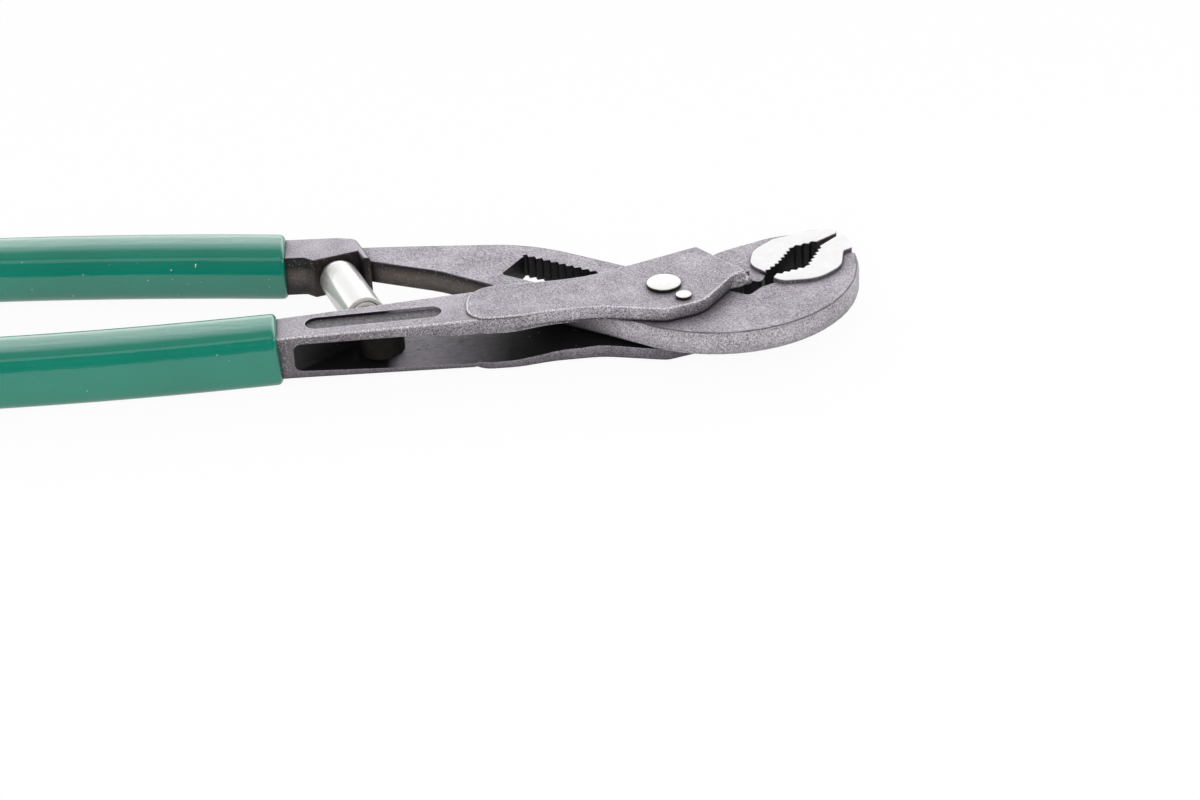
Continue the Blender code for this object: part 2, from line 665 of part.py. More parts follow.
def make_pawl(slot):
    """Toothed pawl on the rivet, drawn home in the rack and then tilted clear of it."""
    tip = RACK_TIP + RACK_DEPTH - RUNNING_CLEARANCE
    root = tip - RACK_DEPTH
    front = RACK_PITCH / 2 - PAWL_FIRST_TOOTH
    back = front - PAWL_TEETH * RACK_PITCH
    crest = [(front, root)]
    for k in range(PAWL_TEETH):
        crest.append((front - RACK_PITCH * (k + 0.5), tip))
        crest.append((front - RACK_PITCH * (k + 1), root))
    under = root - PAWL_ARM_DEPTH
    hub = arc((0.0, 0.0), PAWL_HUB_RADIUS, math.radians(-160), math.radians(95))
    outline = hub + crest + [(back, under), (front, under)]
    pawl = solid("pawl", slab(outline, BLADE_HALF), slot, "spring_steel", PAWL_TILT)
    bore = RIVET_SHANK_RADIUS + RUNNING_CLEARANCE
    combine(pawl, rod_cutter("pawl_bore", (0, 0), bore, -CUT_REACH, CUT_REACH, slot), "DIFFERENCE")
    return pawl


def make_pawl_spring(slot):
    """Bowed leaf between the pawl's hub and the slot's plain wall."""
    foot = -SLOT_PLAIN_WALL + SEAT_CLEARANCE
    crown = -PAWL_HUB_RADIUS - SEAT_CLEARANCE - PAWL_SPRING_THICKNESS
    reach = PAWL_SPRING_LENGTH / 2
    knee = (foot + crown) / 2
    low = [(-reach, foot), (-reach / 2, knee), (0.0, crown), (reach / 2, knee), (reach, foot)]
    high = [(x, y + PAWL_SPRING_THICKNESS) for x, y in reversed(low)]
    return solid("pawl_spring", slab(low + high, BLADE_HALF), slot, "spring_steel")


def make_strut_tube(strut):
    """Chrome sleeve with a domed closed end, open at its mouth."""
    dome = [(STRUT_RADIUS * math.sin(a), -STRUT_RADIUS * math.cos(a))
            for a in (math.radians(angle) for angle in (0, 20, 40, 60, 75, 90))]
    floor = STRUT_WALL - STRUT_RADIUS / 2
    outside = dome + [(STRUT_RADIUS, STRUT_TUBE_LENGTH)]
    inside = [(STRUT_BORE, STRUT_TUBE_LENGTH), (STRUT_BORE, floor), (0.0, floor)]
    return solid("strut_tube", turned(outside + inside, axis="X"), strut, "chrome")


def make_strut_gland(strut):
    """Ring pressed in the tube's mouth that the rod runs through."""
    end = STRUT_TUBE_LENGTH
    outer = STRUT_BORE - SEAT_CLEARANCE
    inner = ROD_RADIUS + RUNNING_CLEARANCE
    profile = [(outer, end), (outer, end - GLAND_LENGTH), (inner, end - GLAND_LENGTH), (inner, end)]
    return solid("strut_gland", turned(profile, closed=True, axis="X"), strut, "bright_steel")


def piston_face():
    """Distance from the socket to the side of the piston that faces the gland."""
    return STRUT_TUBE_LENGTH - GLAND_LENGTH - PISTON_TRAVEL


def make_strut_rod(strut):
    """Piston and rod with a flat eye; the eye's hole has room for the open end of the linkage."""
    piston = STRUT_BORE - RUNNING_CLEARANCE
    back = piston_face() - PISTON_LENGTH
    profile = [(0.0, back), (piston, back), (piston, piston_face()), (ROD_RADIUS, piston_face())]
    profile += [(ROD_RADIUS, STRUT_LENGTH - EYE_RADIUS / 2), (0.0, STRUT_LENGTH - EYE_RADIUS / 2)]
    rod = solid("strut_rod", turned(profile, axis="X"), strut, "bright_steel")
    eye = [(STRUT_LENGTH + x, y) for x, y in arc((0, 0), EYE_RADIUS, 0.0, 2 * math.pi)[:-1]]
    combine(rod, solid("rod_eye", slab(eye, BLADE_HALF), strut), "UNION")
    hole = EYE_PIN_RADIUS + OPEN_PIVOT_PLAY
    cutter = rod_cutter("rod_eye_hole", (STRUT_LENGTH, 0), hole, -CUT_REACH, CUT_REACH, strut)
    combine(rod, cutter, "DIFFERENCE")
    return rod


def make_strut_spring(strut):
    """Coil between the tube's closed end and the piston, as one unbroken wire."""
    low = STRUT_WALL - STRUT_RADIUS / 2 + SEAT_CLEARANCE + SPRING_WIRE / 2
    high = piston_face() - PISTON_LENGTH - SEAT_CLEARANCE - SPRING_WIRE / 2
    radius = STRUT_BORE - SEAT_CLEARANCE - SPRING_WIRE / 2
    count = SPRING_TURNS * SPRING_POINTS_PER_TURN
    points = []
    for k in range(count + 1):
        angle = 2 * math.pi * k / SPRING_POINTS_PER_TURN
        along = low + (high - low) * k / count
        points.append(Vector((along, radius * math.cos(angle), radius * math.sin(angle))))
    turn = SPRING_POINTS_PER_TURN
    gap = min((points[k] - points[k + turn]).length for k in range(count + 1 - turn)) - SPRING_WIRE
    print("strut spring's least gap to itself:", round(gap * 1000, 2), "mm")
    curve = bpy.data.curves.new("strut_spring", "CURVE")
    curve.dimensions = "3D"
    curve.bevel_depth = SPRING_WIRE / 2
    curve.bevel_resolution = 1
    curve.use_fill_caps = True
    spline = curve.splines.new("POLY")
    spline.points.add(count)
    for point, place in zip(spline.points, points):
        point.co = (*place, 1.0)
    curve.materials.append(material("spring_steel"))
    made = bpy.data.objects.new("strut_spring", curve)
    bpy.context.collection.objects.link(made)
    made.parent = strut
    return made


def make_eye_pin(body):
    """Blind pin, set from below, that holds the strut's eye between the cheeks."""
    low = -SHANK_HALF - FORK_EXTRA_DEPTH
    high = WINDOW_HALF + EYE_PIN_BITE
    bm = turned([(0.0, low), (EYE_PIN_RADIUS, low), (EYE_PIN_RADIUS, high), (0.0, high)])
    bmesh.ops.translate(bm, verts=bm.verts, vec=(EYE.x, EYE.y, 0.0))
    return solid("eye_pin", bm, body, "bright_steel")


def main():
    clear_scene()
    pliers = empty("pliers", (0.0, 0.0, MID_HEIGHT), 0.0, None)
    slot = empty("slot_direction", (0.0, 0.0, 0.0), SLOT_ANGLE, pliers)
    strut = empty("strut_socket", (SOCKET.x, SOCKET.y, 0.0), STRUT_ANGLE, pliers)
    make_fork_lever(pliers)
    make_slide_lever(pliers, slot)
    make_grip("fork_grip", FORK_HANDLE, pliers, FORK_EXTRA_DEPTH)
    make_grip("slide_grip", SLIDE_HANDLE, pliers)
    make_main_rivet(pliers)
    make_stop_pin(pliers)
    make_pawl(slot)
    make_pawl_spring(slot)
    make_strut_tube(strut)
    make_strut_gland(strut)
    make_strut_rod(strut)
    make_strut_spring(strut)
    make_eye_pin(pliers)


main()
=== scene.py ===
import math

import bmesh
import bpy
from mathutils import Matrix, Vector
from mathutils.noise import turbulence


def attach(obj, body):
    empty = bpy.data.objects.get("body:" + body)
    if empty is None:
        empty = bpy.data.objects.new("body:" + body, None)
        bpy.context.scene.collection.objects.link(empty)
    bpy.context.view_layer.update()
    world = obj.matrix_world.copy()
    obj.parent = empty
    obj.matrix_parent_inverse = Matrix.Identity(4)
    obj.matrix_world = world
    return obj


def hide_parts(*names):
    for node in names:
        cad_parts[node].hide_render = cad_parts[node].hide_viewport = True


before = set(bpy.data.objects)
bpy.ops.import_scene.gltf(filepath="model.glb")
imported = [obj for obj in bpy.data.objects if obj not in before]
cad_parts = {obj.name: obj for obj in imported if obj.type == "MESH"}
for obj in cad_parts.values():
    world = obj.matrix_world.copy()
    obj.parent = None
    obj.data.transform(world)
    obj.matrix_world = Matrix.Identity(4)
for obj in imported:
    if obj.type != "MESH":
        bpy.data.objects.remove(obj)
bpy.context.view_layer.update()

midHeight = 0.0092  # height of the tool's mid-plane over the table
socketSpot = Vector((-0.0859, 0.0259, midHeight))  # where the strut's domed end turns
mergeDistance = 2e-6
sharpAngles = {"forging": 32.0, "turned": 35.0, "grip": 40.0, "fine": 50.0}  # degrees
white = (1.0, 1.0, 1.0, 1.0)


# small helpers for node trees; a value from a node knows its tree
def addNode(tree, kind, values=None, **settings):
    node = tree.nodes.new(kind)
    for key, value in settings.items():
        setattr(node, key, value)
    for key, value in (values or {}).items():
        if isinstance(value, bpy.types.NodeSocket):
            tree.links.new(value, node.inputs[key])
        else:
            node.inputs[key].default_value = value
    return node


def calc(operation, first, second=0.0, clamp=False):
    source = first if isinstance(first, bpy.types.NodeSocket) else second
    values = {0: first} if second is None else {0: first, 1: second}
    settings = {"operation": operation, "use_clamp": clamp}
    return addNode(source.id_data, "ShaderNodeMath", values, **settings).outputs[0]


def times(product, *others):
    for other in others:
        product = calc("MULTIPLY", product, other)
    return product


def largest(most, *others):
    for other in others:
        most = calc("MAXIMUM", most, other)
    return most


def parts(vector):
    return addNode(vector.id_data, "ShaderNodeSeparateXYZ", {0: vector}).outputs


def vectorMath(operation, first, second):
    values = {0: first, 1: second}
    return addNode(first.id_data, "ShaderNodeVectorMath", values, operation=operation).outputs


def remap(value, low, high, toLow=0.0, toHigh=1.0):
    values = {"Value": value, "From Min": low, "From Max": high, "To Min": toLow, "To Max": toHigh}
    return addNode(value.id_data, "ShaderNodeMapRange", values, clamp=True).outputs["Result"]


def spread(value, toLow=0.0, toHigh=1.0):
    # most of a noise lies between these two
    return remap(value, 0.3, 0.7, toLow, toHigh)


def band(value, rising, falling):
    return times(remap(value, *rising), remap(value, *falling))


def blendColour(share, first, second):
    values = {0: share, 6: first, 7: second}
    return addNode(share.id_data, "ShaderNodeMix", values, data_type="RGBA").outputs[2]


def blendValue(share, first, second):
    values = {0: share, 2: first, 3: second}
    return addNode(share.id_data, "ShaderNodeMix", values, data_type="FLOAT").outputs[0]


def noise(place, scale, detail, rough, drawn=None, turn=0.0):
    if drawn:
        # the pattern is drawn out along its own turned axes
        values = {"Vector": place, "Scale": drawn, "Rotation": (0.0, 0.0, turn)}
        place = addNode(place.id_data, "ShaderNodeMapping", values, vector_type="TEXTURE").outputs[0]
    values = {"Vector": place, "Scale": scale, "Detail": detail, "Roughness": rough}
    return addNode(place.id_data, "ShaderNodeTexNoise", values).outputs["Fac"]


def specks(place, perMetre, size, share, strength=1.0):
    # sparse round dots, one cell in so many carries one
    cell = addNode(place.id_data, "ShaderNodeTexVoronoi", {"Vector": place, "Scale": perMetre}).outputs
    dot = remap(cell["Distance"], size, size * 0.5)
    pick = addNode(place.id_data, "ShaderNodeSeparateColor", {"Color": cell["Color"]}).outputs["Red"]
    return times(dot, calc("LESS_THAN", pick, share), strength)


def rimShare(tree, radius, low, high, upward=False):
    # 1 on rounded rims and corners, 0 on open faces
    soft = addNode(tree, "ShaderNodeBevel", {"Radius": radius}, samples=4).outputs["Normal"]
    plain = addNode(tree, "ShaderNodeNewGeometry").outputs["True Normal"]
    rim = remap(vectorMath("DOT_PRODUCT", soft, plain)["Value"], high, low)
    if upward:
        rim = times(rim, remap(parts(soft)["Z"], 0.10, 0.40))
    return rim


def hollows(tree, reach, low, high):
    # 1 in corners and gaps that other faces stand over, 0 in the open; it masks the painted shade
    free = addNode(tree, "ShaderNodeAmbientOcclusion", {"Distance": reach}, samples=8).outputs["AO"]
    return remap(free, high, low)


def lookUp(tree):
    # 1 on faces that look up, -1 on those that look down
    return parts(addNode(tree, "ShaderNodeTexCoord").outputs["Normal"])["Z"]


def newMaterial(name, look):
    made = bpy.data.materials.new(name)
    made.use_nodes = True
    shader = made.node_tree.nodes["Principled BSDF"]
    for key, value in look["shader"].items():
        shader.inputs[key].default_value = value
    return made, shader, addNode(made.node_tree, "ShaderNodeTexCoord").outputs["Object"]


def dress(shader, colour, rough, height, relief):
    # colour, roughness and, where its strength and depth are given, fine relief
    sockets = {"Base Color": colour, "Roughness": rough}
    if relief:
        values = {"Height": height, "Strength": relief[0], "Distance": relief[1]}
        sockets["Normal"] = addNode(shader.id_data, "ShaderNodeBump", values).outputs["Normal"]
    for key, value in sockets.items():
        shader.id_data.links.new(value, shader.inputs[key])


# grey phosphate coat on the forgings: fine and pale on the flats, coarse on the sides, with painted
# glints, highlights and shade
coat = {
    "shader": {"Metallic": 0.3},
    "flatDark": (0.100, 0.086, 0.107, 1.0),
    "flatPale": (0.560, 0.513, 0.579, 1.0),
    "forkDark": (0.060, 0.051, 0.063, 1.0),
    "forkPale": (0.700, 0.645, 0.716, 1.0),
    "headDark": (0.110, 0.096, 0.112, 1.0),
    "headPale": (0.710, 0.663, 0.720, 1.0),
    "brownDark": (0.036, 0.030, 0.026, 1.0),
    "brownPale": (0.098, 0.086, 0.085, 1.0),
    "barShadeColour": (0.010, 0.008, 0.008, 1.0),
    "barSheenColour": (0.125, 0.100, 0.090, 1.0),
    "foldShade": (0.040, 0.036, 0.041, 1.0),  # painted shade along the line where the blade's flat turns down
    # grease brown round the strut's socket, darkened with painted shade
    "stain": (0.022, 0.013, 0.007, 1.0),
    # painted shade in hollows and gaps
    "paintedShade": (0.020, 0.017, 0.021, 1.0),
    # pale colour of real dust and scratches, and of painted glints and rim highlights
    "dustAndGlint": (0.930, 0.915, 0.925, 1.0),
    # noises: scale per metre, detail, roughness, and how some are drawn out and turned
    "grain": (2700.0, 3.0, 0.65),
    "coarse": (2400.0, 3.0, 0.75),
    "patches": (95.0, 4.0, 0.6),
    "barGrain": (1500.0, 3.0, 0.5, (14.0, 1.0, 1.0), -0.20),
    "scratch": (2200.0, 2.0, 0.5, (1.0, 16.0, 1.0), 0.6),
    # what their values turn into
    "flatDrift": (0.35, 0.65, -0.14, 0.14),
    "sideTone": (0.34, 0.68),
    "sideDrift": (-0.15, 0.15),
    "barTone": (0.28, 0.72, 0.60, 1.0),
    "scratchTone": (0.69, 0.75, 0.0, 0.30),
    "stainRagged": (-0.0015, 0.0015),
    "flatRough": (0.60, 0.46),
    "sideRough": (0.58, 0.40),
    "sideHeight": 2.2,
    "patchHeight": 1.5,
    # dots: cells per metre, size, share of the cells, and the strength of some
    "glints": (2200.0, 0.32, 0.28),
    "bigDust": (520.0, 0.10, 0.20),
    "fineDust": (1400.0, 0.17, 0.08),
    "dustOn": (0.0, 1.0, 0.30, 0.85),  # on the sides and on the flats
    # ranges, some with the shares at both ends: along the tool, over the mid-plane, in slope
    "brownX": (-0.030, -0.090, 0.0, 0.6),
    "shadedBarX": (-0.012, -0.030),
    "footShadowX": (-0.045, -0.025, 0.0, 0.92),
    "padX": (-0.030, -0.040),
    "stainShadeReach": (0.0098, 0.0066),  # from the strut's socket
    "barSheenRise": ((0.0030, 0.0008), (-0.0034, -0.0004, 0.05, 1.0)),
    "headShadeRise": (-0.0040, 0.0004, 0.40, 1.0),
    "forkShadeRise": ((-0.0080, -0.0035, 0.55, 1.0), (0.0034, 0.0062, 0.62, 1.0)),
    "footShadowRise": ((0.0041, 0.0037), (0.0030, 0.0034)),  # painted shadow along the foot of the upper cheek's side
    "padRise": (0.0063, 0.0066),
    "forkGlintRise": (-0.0060, 0.0055, 0.10, 0.80),
    "slideGlintRise": (-0.0060, 0.0055, 0.10, 0.35),
    "rimRise": (0.0030, 0.0050),
    "rimFade": (-0.0020, 0.0030, 0.35, 1.0),
    "flatSlope": (0.90, 0.985),
    "foldShadeSlope": ((0.74, 0.86), (0.990, 0.955, 0.0, 0.75)),
    "padSlope": (0.93, 0.80, 0.0, 0.75),
    "roundSlope": ((0.35, 0.70), (0.992, 0.95)),
    # rim wear with painted rim highlights, and painted shade in hollows
    "rim": (0.0005, 0.80, 0.97),
    "forkRim": (0.46, 0.62, 0.30, 1.00),
    "slideRim": (0.46, 0.62, 0.05, 0.15),
    "hollows": (0.006, 0.38, 0.95),
    "paintedShadeStrength": 0.92,
    "relief": (0.5, 0.00008),  # strength and depth
}


def barShadeAndSheen(place, rise):
    # smooth shank of the slide lever, painted dark as shade, with drawn streaks and a paler band half-way
    # down as painted sheen
    streaks = remap(noise(place, *coat["barGrain"]), *coat["barTone"])
    tone = times(streaks, band(rise, *coat["barSheenRise"]))
    return blendColour(tone, coat["barShadeColour"], coat["barSheenColour"])


def slideSides(place, spot, rise, tone, coarse):
    # head and shank of the slide lever: sides darker towards the bottom with painted shade, the shank
    # painted dark, and browned round the strut's socket with grease and painted shade
    tone = times(tone, remap(rise, *coat["headShadeRise"]))
    colour = blendColour(tone, coat["headDark"], coat["headPale"])
    # the shank is painted dark as shade, with a painted sheen
    shadedBar = remap(spot["X"], *coat["shadedBarX"])
    colour = blendColour(shadedBar, colour, barShadeAndSheen(place, rise))
    # round the strut's socket: grease brown and painted shade
    away = vectorMath("DISTANCE", place, socketSpot)["Value"]
    away = calc("ADD", away, spread(coarse, *coat["stainRagged"]))
    return blendColour(remap(away, *coat["stainShadeReach"]), colour, coat["stain"])


def forkSides(spot, rise, tone):
    # cheeks and shank of the fork, browner towards the handle, with painted shade that darkens the sides
    # from the top down
    tone = times(tone, band(rise, *coat["forkShadeRise"]))
    colour = blendColour(tone, coat["forkDark"], coat["forkPale"])
    brown = blendColour(tone, coat["brownDark"], coat["brownPale"])
    return blendColour(remap(spot["X"], *coat["brownX"]), colour, brown)


def forgedSteel(name, slide):
    made, shader, place = newMaterial(name, coat)
    lever = "slide" if slide else "fork"
    spot = parts(place)
    rise = calc("SUBTRACT", spot["Z"], midHeight)
    up = lookUp(made.node_tree)
    level = calc("ABSOLUTE", up, None)
    flat = remap(level, *coat["flatSlope"])
    side = calc("SUBTRACT", 1.0, flat)
    grain = noise(place, *coat["grain"])
    coarse = noise(place, *coat["coarse"])
    patches = noise(place, *coat["patches"])
    tone = calc("ADD", spread(grain), remap(patches, *coat["flatDrift"]), True)
    flatColour = blendColour(tone, coat["flatDark"], coat["flatPale"])
    tone = calc("ADD", remap(coarse, *coat["sideTone"]), spread(patches, *coat["sideDrift"]), True)
    if slide:
        sideColour = slideSides(place, spot, rise, tone, coarse)
    else:
        sideColour = forkSides(spot, rise, tone)
    colour = blendColour(flat, sideColour, flatColour)
    # painted glints: pale specks on the sides, more of them higher up
    glints = times(specks(place, *coat["glints"]), side, remap(rise, *coat[lever + "GlintRise"]))
    # rims: partly real wear and partly painted highlight, on rims that look up
    rim = rimShare(made.node_tree, *coat["rim"], True)
    if slide:
        # painted shade where the blade's flat turns down
        colour = blendColour(band(level, *coat["foldShadeSlope"]), colour, coat["foldShade"])
    else:
        # painted shadow along the foot of the upper cheek's side
        footShadow = times(band(rise, *coat["footShadowRise"]), remap(spot["X"], *coat["footShadowX"]), side)
        colour = blendColour(footShadow, colour, coat["paintedShade"])
        # painted shade on the wall of the raised pad
        padWallShade = times(remap(rise, *coat["padRise"]), remap(spot["X"], *coat["padX"]))
        padWallShade = times(padWallShade, remap(level, *coat["padSlope"]))
        colour = blendColour(padWallShade, colour, coat["forkDark"])
        # painted highlight along the fork's rounded rims that look up
        rounded = times(band(up, *coat["roundSlope"]), remap(rise, *coat["rimRise"]))
        rim = largest(rim, rounded)
    # the rim highlight fades towards the bottom
    rim = times(rim, remap(rise, *coat["rimFade"]), remap(coarse, *coat[lever + "Rim"]))
    scratch = times(remap(noise(place, *coat["scratch"]), *coat["scratchTone"]), flat)
    dust = largest(specks(place, *coat["bigDust"]), specks(place, *coat["fineDust"]))
    dust = times(dust, remap(flat, *coat["dustOn"]))
    colour = blendColour(largest(glints, rim, scratch, dust), colour, coat["dustAndGlint"])
    # painted shade in corners, gaps and under overhangs
    paintedShade = times(hollows(made.node_tree, *coat["hollows"]), coat["paintedShadeStrength"])
    colour = blendColour(paintedShade, colour, coat["paintedShade"])
    rough = blendValue(flat, spread(coarse, *coat["sideRough"]), spread(grain, *coat["flatRough"]))
    height = blendValue(flat, times(coarse, coat["sideHeight"]), grain)
    height = calc("ADD", height, times(patches, coat["patchHeight"]))
    dress(shader, colour, rough, height, coat["relief"])
    return made


# inner faces between the cheeks: oiled, darkened with painted shade and paler half-way along with painted
# light, with fine cracks
inside = {
    "shader": {"Metallic": 0.2},
    "dark": (0.008, 0.007, 0.008, 1.0),
    "pale": (0.250, 0.230, 0.262, 1.0),
    "paintedLightX": ((-0.0722, -0.0690), (-0.040, -0.062)),
    "grain": (900.0, 4.0, 0.6, (2.0, 1.0, 1.0)),
    "mottle": (0.75, 1.1),
    "rough": (0.62, 0.5),
    "cracks": (150.0, 3.0, 0.6, (2.5, 1.0, 1.0), 0.35),
    "crackWidth": (0.007, 0.0028, 0.0, 0.7),
    "dust": (420.0, 0.08, 0.25, 0.6),
    "relief": (0.3, 0.00005),
}


def shadedInnerSteel():
    made, shader, place = newMaterial("shadedInnerSteel", inside)
    grain = noise(place, *inside["grain"])
    # painted light half-way along the window, painted shade elsewhere
    share = times(band(parts(place)["X"], *inside["paintedLightX"]), spread(grain, *inside["mottle"]))
    colour = blendColour(share, inside["dark"], inside["pale"])
    drift = noise(place, *inside["cracks"])
    crack = calc("ABSOLUTE", calc("SUBTRACT", drift, 0.5), None)
    colour = blendColour(remap(crack, *inside["crackWidth"]), colour, inside["dark"])
    colour = blendColour(specks(place, *inside["dust"]), colour, coat["dustAndGlint"])
    dress(shader, colour, spread(grain, *inside["rough"]), grain, inside["relief"])
    return made


# sunk panel on the shank and the steps round the ground faces: rougher than the flats, and darker with
# painted shade
sunk = {
    "shader": {"Metallic": 0.3},
    "dark": (0.035, 0.031, 0.036, 1.0),
    "pale": (0.205, 0.190, 0.210, 1.0),
    "coarse": (1300.0, 4.0, 0.7),
    "tone": (0.34, 0.66, 0.0, 0.8),
    "drift": (-0.1, 0.25),
    "rough": (0.62, 0.48),
    "dust": (900.0, 0.14, 0.12),
    "relief": (0.7, 0.00015),
}


def shadedSunkSteel():
    made, shader, place = newMaterial("shadedSunkSteel", sunk)
    coarse = noise(place, *sunk["coarse"])
    fine = noise(place, *coat["grain"])
    tone = calc("ADD", remap(coarse, *sunk["tone"]), spread(fine, *sunk["drift"]), True)
    colour = blendColour(tone, sunk["dark"], sunk["pale"])
    colour = blendColour(specks(place, *sunk["dust"]), colour, coat["dustAndGlint"])
    dress(shader, colour, spread(fine, *sunk["rough"]), coarse, sunk["relief"])
    return made


# bare ground faces of the jaws
ground = {
    "shader": {"Metallic": 0.15},
    "dark": (0.665, 0.652, 0.660, 1.0),
    "pale": (0.740, 0.729, 0.736, 1.0),
    "pit": (0.420, 0.405, 0.420, 1.0),
    "lines": (3600.0, 2.0, 0.5, (10.0, 1.0, 1.0), 0.5),
    "tone": (0.25, 0.65),
    "rough": (0.2, 0.8, 0.48, 0.36),
    "cloud": (240.0, 3.0, 0.5),
    "drift": (-0.2, 0.2),
    "pits": (700.0, 0.11, 0.08, 0.5),
    "relief": (0.12, 0.00003),
}


def groundSteel():
    made, shader, place = newMaterial("groundSteel", ground)
    lines = noise(place, *ground["lines"])
    cloud = noise(place, *ground["cloud"])
    tone = calc("ADD", remap(lines, *ground["tone"]), spread(cloud, *ground["drift"]), True)
    colour = blendColour(tone, ground["dark"], ground["pale"])
    colour = blendColour(specks(place, *ground["pits"]), colour, ground["pit"])
    dress(shader, colour, remap(lines, *ground["rough"]), lines, ground["relief"])
    return made


# plated rivets and pins, slightly speckled
plated = {
    "shader": {"Metallic": 0.25},
    "pale": (0.690, 0.677, 0.660, 1.0),
    "dull": (0.550, 0.525, 0.495, 1.0),
    "stain": (0.330, 0.250, 0.170, 1.0),
    "edge": (0.012, 0.010, 0.010, 1.0),  # painted shade on the side of a head
    "shadedSideSlope": (0.75, 0.45),
    "grain": (4200.0, 3.0, 0.6),
    "tone": (0.55, 0.80, 0.0, 0.6),
    "cloud": (520.0, 3.0, 0.6),
    "rough": (0.24, 0.36),
    "spots": (1900.0, 0.12, 0.07, 0.3),
    "rim": (0.0004, 0.80, 0.97),
    "rimDull": 0.35,
    "relief": (0.12, 0.00003),
}


def brightSteel(name, head):
    made, shader, place = newMaterial(name, plated)
    grain = noise(place, *plated["grain"])
    cloud = noise(place, *plated["cloud"])
    colour = blendColour(remap(grain, *plated["tone"]), plated["pale"], plated["dull"])
    colour = blendColour(specks(place, *plated["spots"]), colour, plated["stain"])
    rim = times(rimShare(made.node_tree, *plated["rim"]), plated["rimDull"])
    colour = blendColour(rim, colour, plated["dull"])
    # painted shade on the sides of the heads
    if head:
        level = calc("ABSOLUTE", lookUp(made.node_tree), None)
        colour = blendColour(remap(level, *plated["shadedSideSlope"]), colour, plated["edge"])
    dress(shader, colour, spread(cloud, *plated["rough"]), grain, plated["relief"])
    return made


# chrome of the strut, browned by grease and darkened with a painted reflection of the socket at its sides
# where it turns in its socket
chromed = {
    "shader": {"Metallic": 0.25},
    "pale": (0.660, 0.653, 0.642, 1.0),
    "haze": (0.600, 0.595, 0.584, 1.0),
    "stain": (0.030, 0.016, 0.007, 1.0),
    "across": (0.9367, 0.3502, 0.0),  # level direction across the strut
    "aside": (0.0012, 0.0042, 0.12, 1.0),
    "stainShadeReach": (0.0078, 0.004836, 0.0, 0.80),
    "stainRough": 0.3,
    "clouds": (650.0, 3.0, 0.6),
    "tone": (0.45, 0.75, 0.0, 0.6),
    "ragged": (-0.0009, 0.0009),
    "fine": (3600.0, 2.0, 0.5),
    "rough": (0.14, 0.22),
    "pits": (900.0, 0.10, 0.08, 0.5),
    "relief": (0.05, 0.00002),
}


def strutChrome():
    made, shader, place = newMaterial("strutChrome", chromed)
    clouds = noise(place, *chromed["clouds"])
    fine = noise(place, *chromed["fine"])
    colour = blendColour(remap(clouds, *chromed["tone"]), chromed["pale"], chromed["haze"])
    # dark brown at the tube's sides near the socket: grease and a painted reflection of the socket
    away = vectorMath("DISTANCE", place, socketSpot)["Value"]
    away = calc("ADD", away, spread(clouds, *chromed["ragged"]))
    offset = vectorMath("SUBTRACT", place, socketSpot)["Vector"]
    aside = calc("ABSOLUTE", vectorMath("DOT_PRODUCT", offset, chromed["across"])["Value"], None)
    stain = times(remap(away, *chromed["stainShadeReach"]), remap(aside, *chromed["aside"]))
    colour = blendColour(stain, colour, chromed["stain"])
    colour = blendColour(specks(place, *chromed["pits"]), colour, chromed["stain"])
    rough = calc("ADD", spread(fine, *chromed["rough"]), times(stain, chromed["stainRough"]))
    dress(shader, colour, rough, fine, chromed["relief"])
    return made


# flanks of the teeth, the rack, the slot and the throat: black oxide, darkened further with painted shade
oxideAndShade = {
    "shader": {"Metallic": 0.6},
    "dark": (0.006, 0.006, 0.007, 1.0),
    "pale": (0.032, 0.031, 0.034, 1.0),
    "grain": (2600.0, 3.0, 0.6),
    "tone": (0.35, 0.75),
    "rough": (0.62, 0.42),
    "relief": (0.4, 0.00005),
}

# hardened steel of the pawl and the springs, with blue and straw temper colours
temper = {
    "shader": {"Metallic": 1.0},
    "dark": (0.085, 0.085, 0.095, 1.0),
    "pale": (0.330, 0.325, 0.320, 1.0),
    "straw": (0.300, 0.240, 0.150, 1.0),
    "tint": (260.0, 2.0, 0.5),
    "tinted": (0.45, 0.70, 0.0, 0.5),
    "grain": (3800.0, 3.0, 0.6),
    "tone": (0.3, 0.7),
    "rough": (0.42, 0.28),
    "relief": (0.15, 0.00003),
}

# old oil on the rod's eye, which is painted nearly black as shade
oilAndShade = {
    "shader": {"Metallic": 0.0, "Specular IOR Level": 0.15},
    "dark": (0.002, 0.0018, 0.0016, 1.0),
    "pale": (0.009, 0.007, 0.006, 1.0),
    "grain": (700.0, 3.0, 0.5),
    "tone": (0.35, 0.7),
    "rough": (0.60, 0.75),
}


def darkSteel(name, look):
    made, shader, place = newMaterial(name, look)
    grain = noise(place, *look["grain"])
    colour = blendColour(remap(grain, *look["tone"]), look["dark"], look["pale"])
    if "straw" in look:
        tint = remap(noise(place, *look["tint"]), *look["tinted"])
        colour = blendColour(tint, colour, look["straw"])
    dress(shader, colour, spread(grain, *look["rough"]), grain, look.get("relief"))
    return made


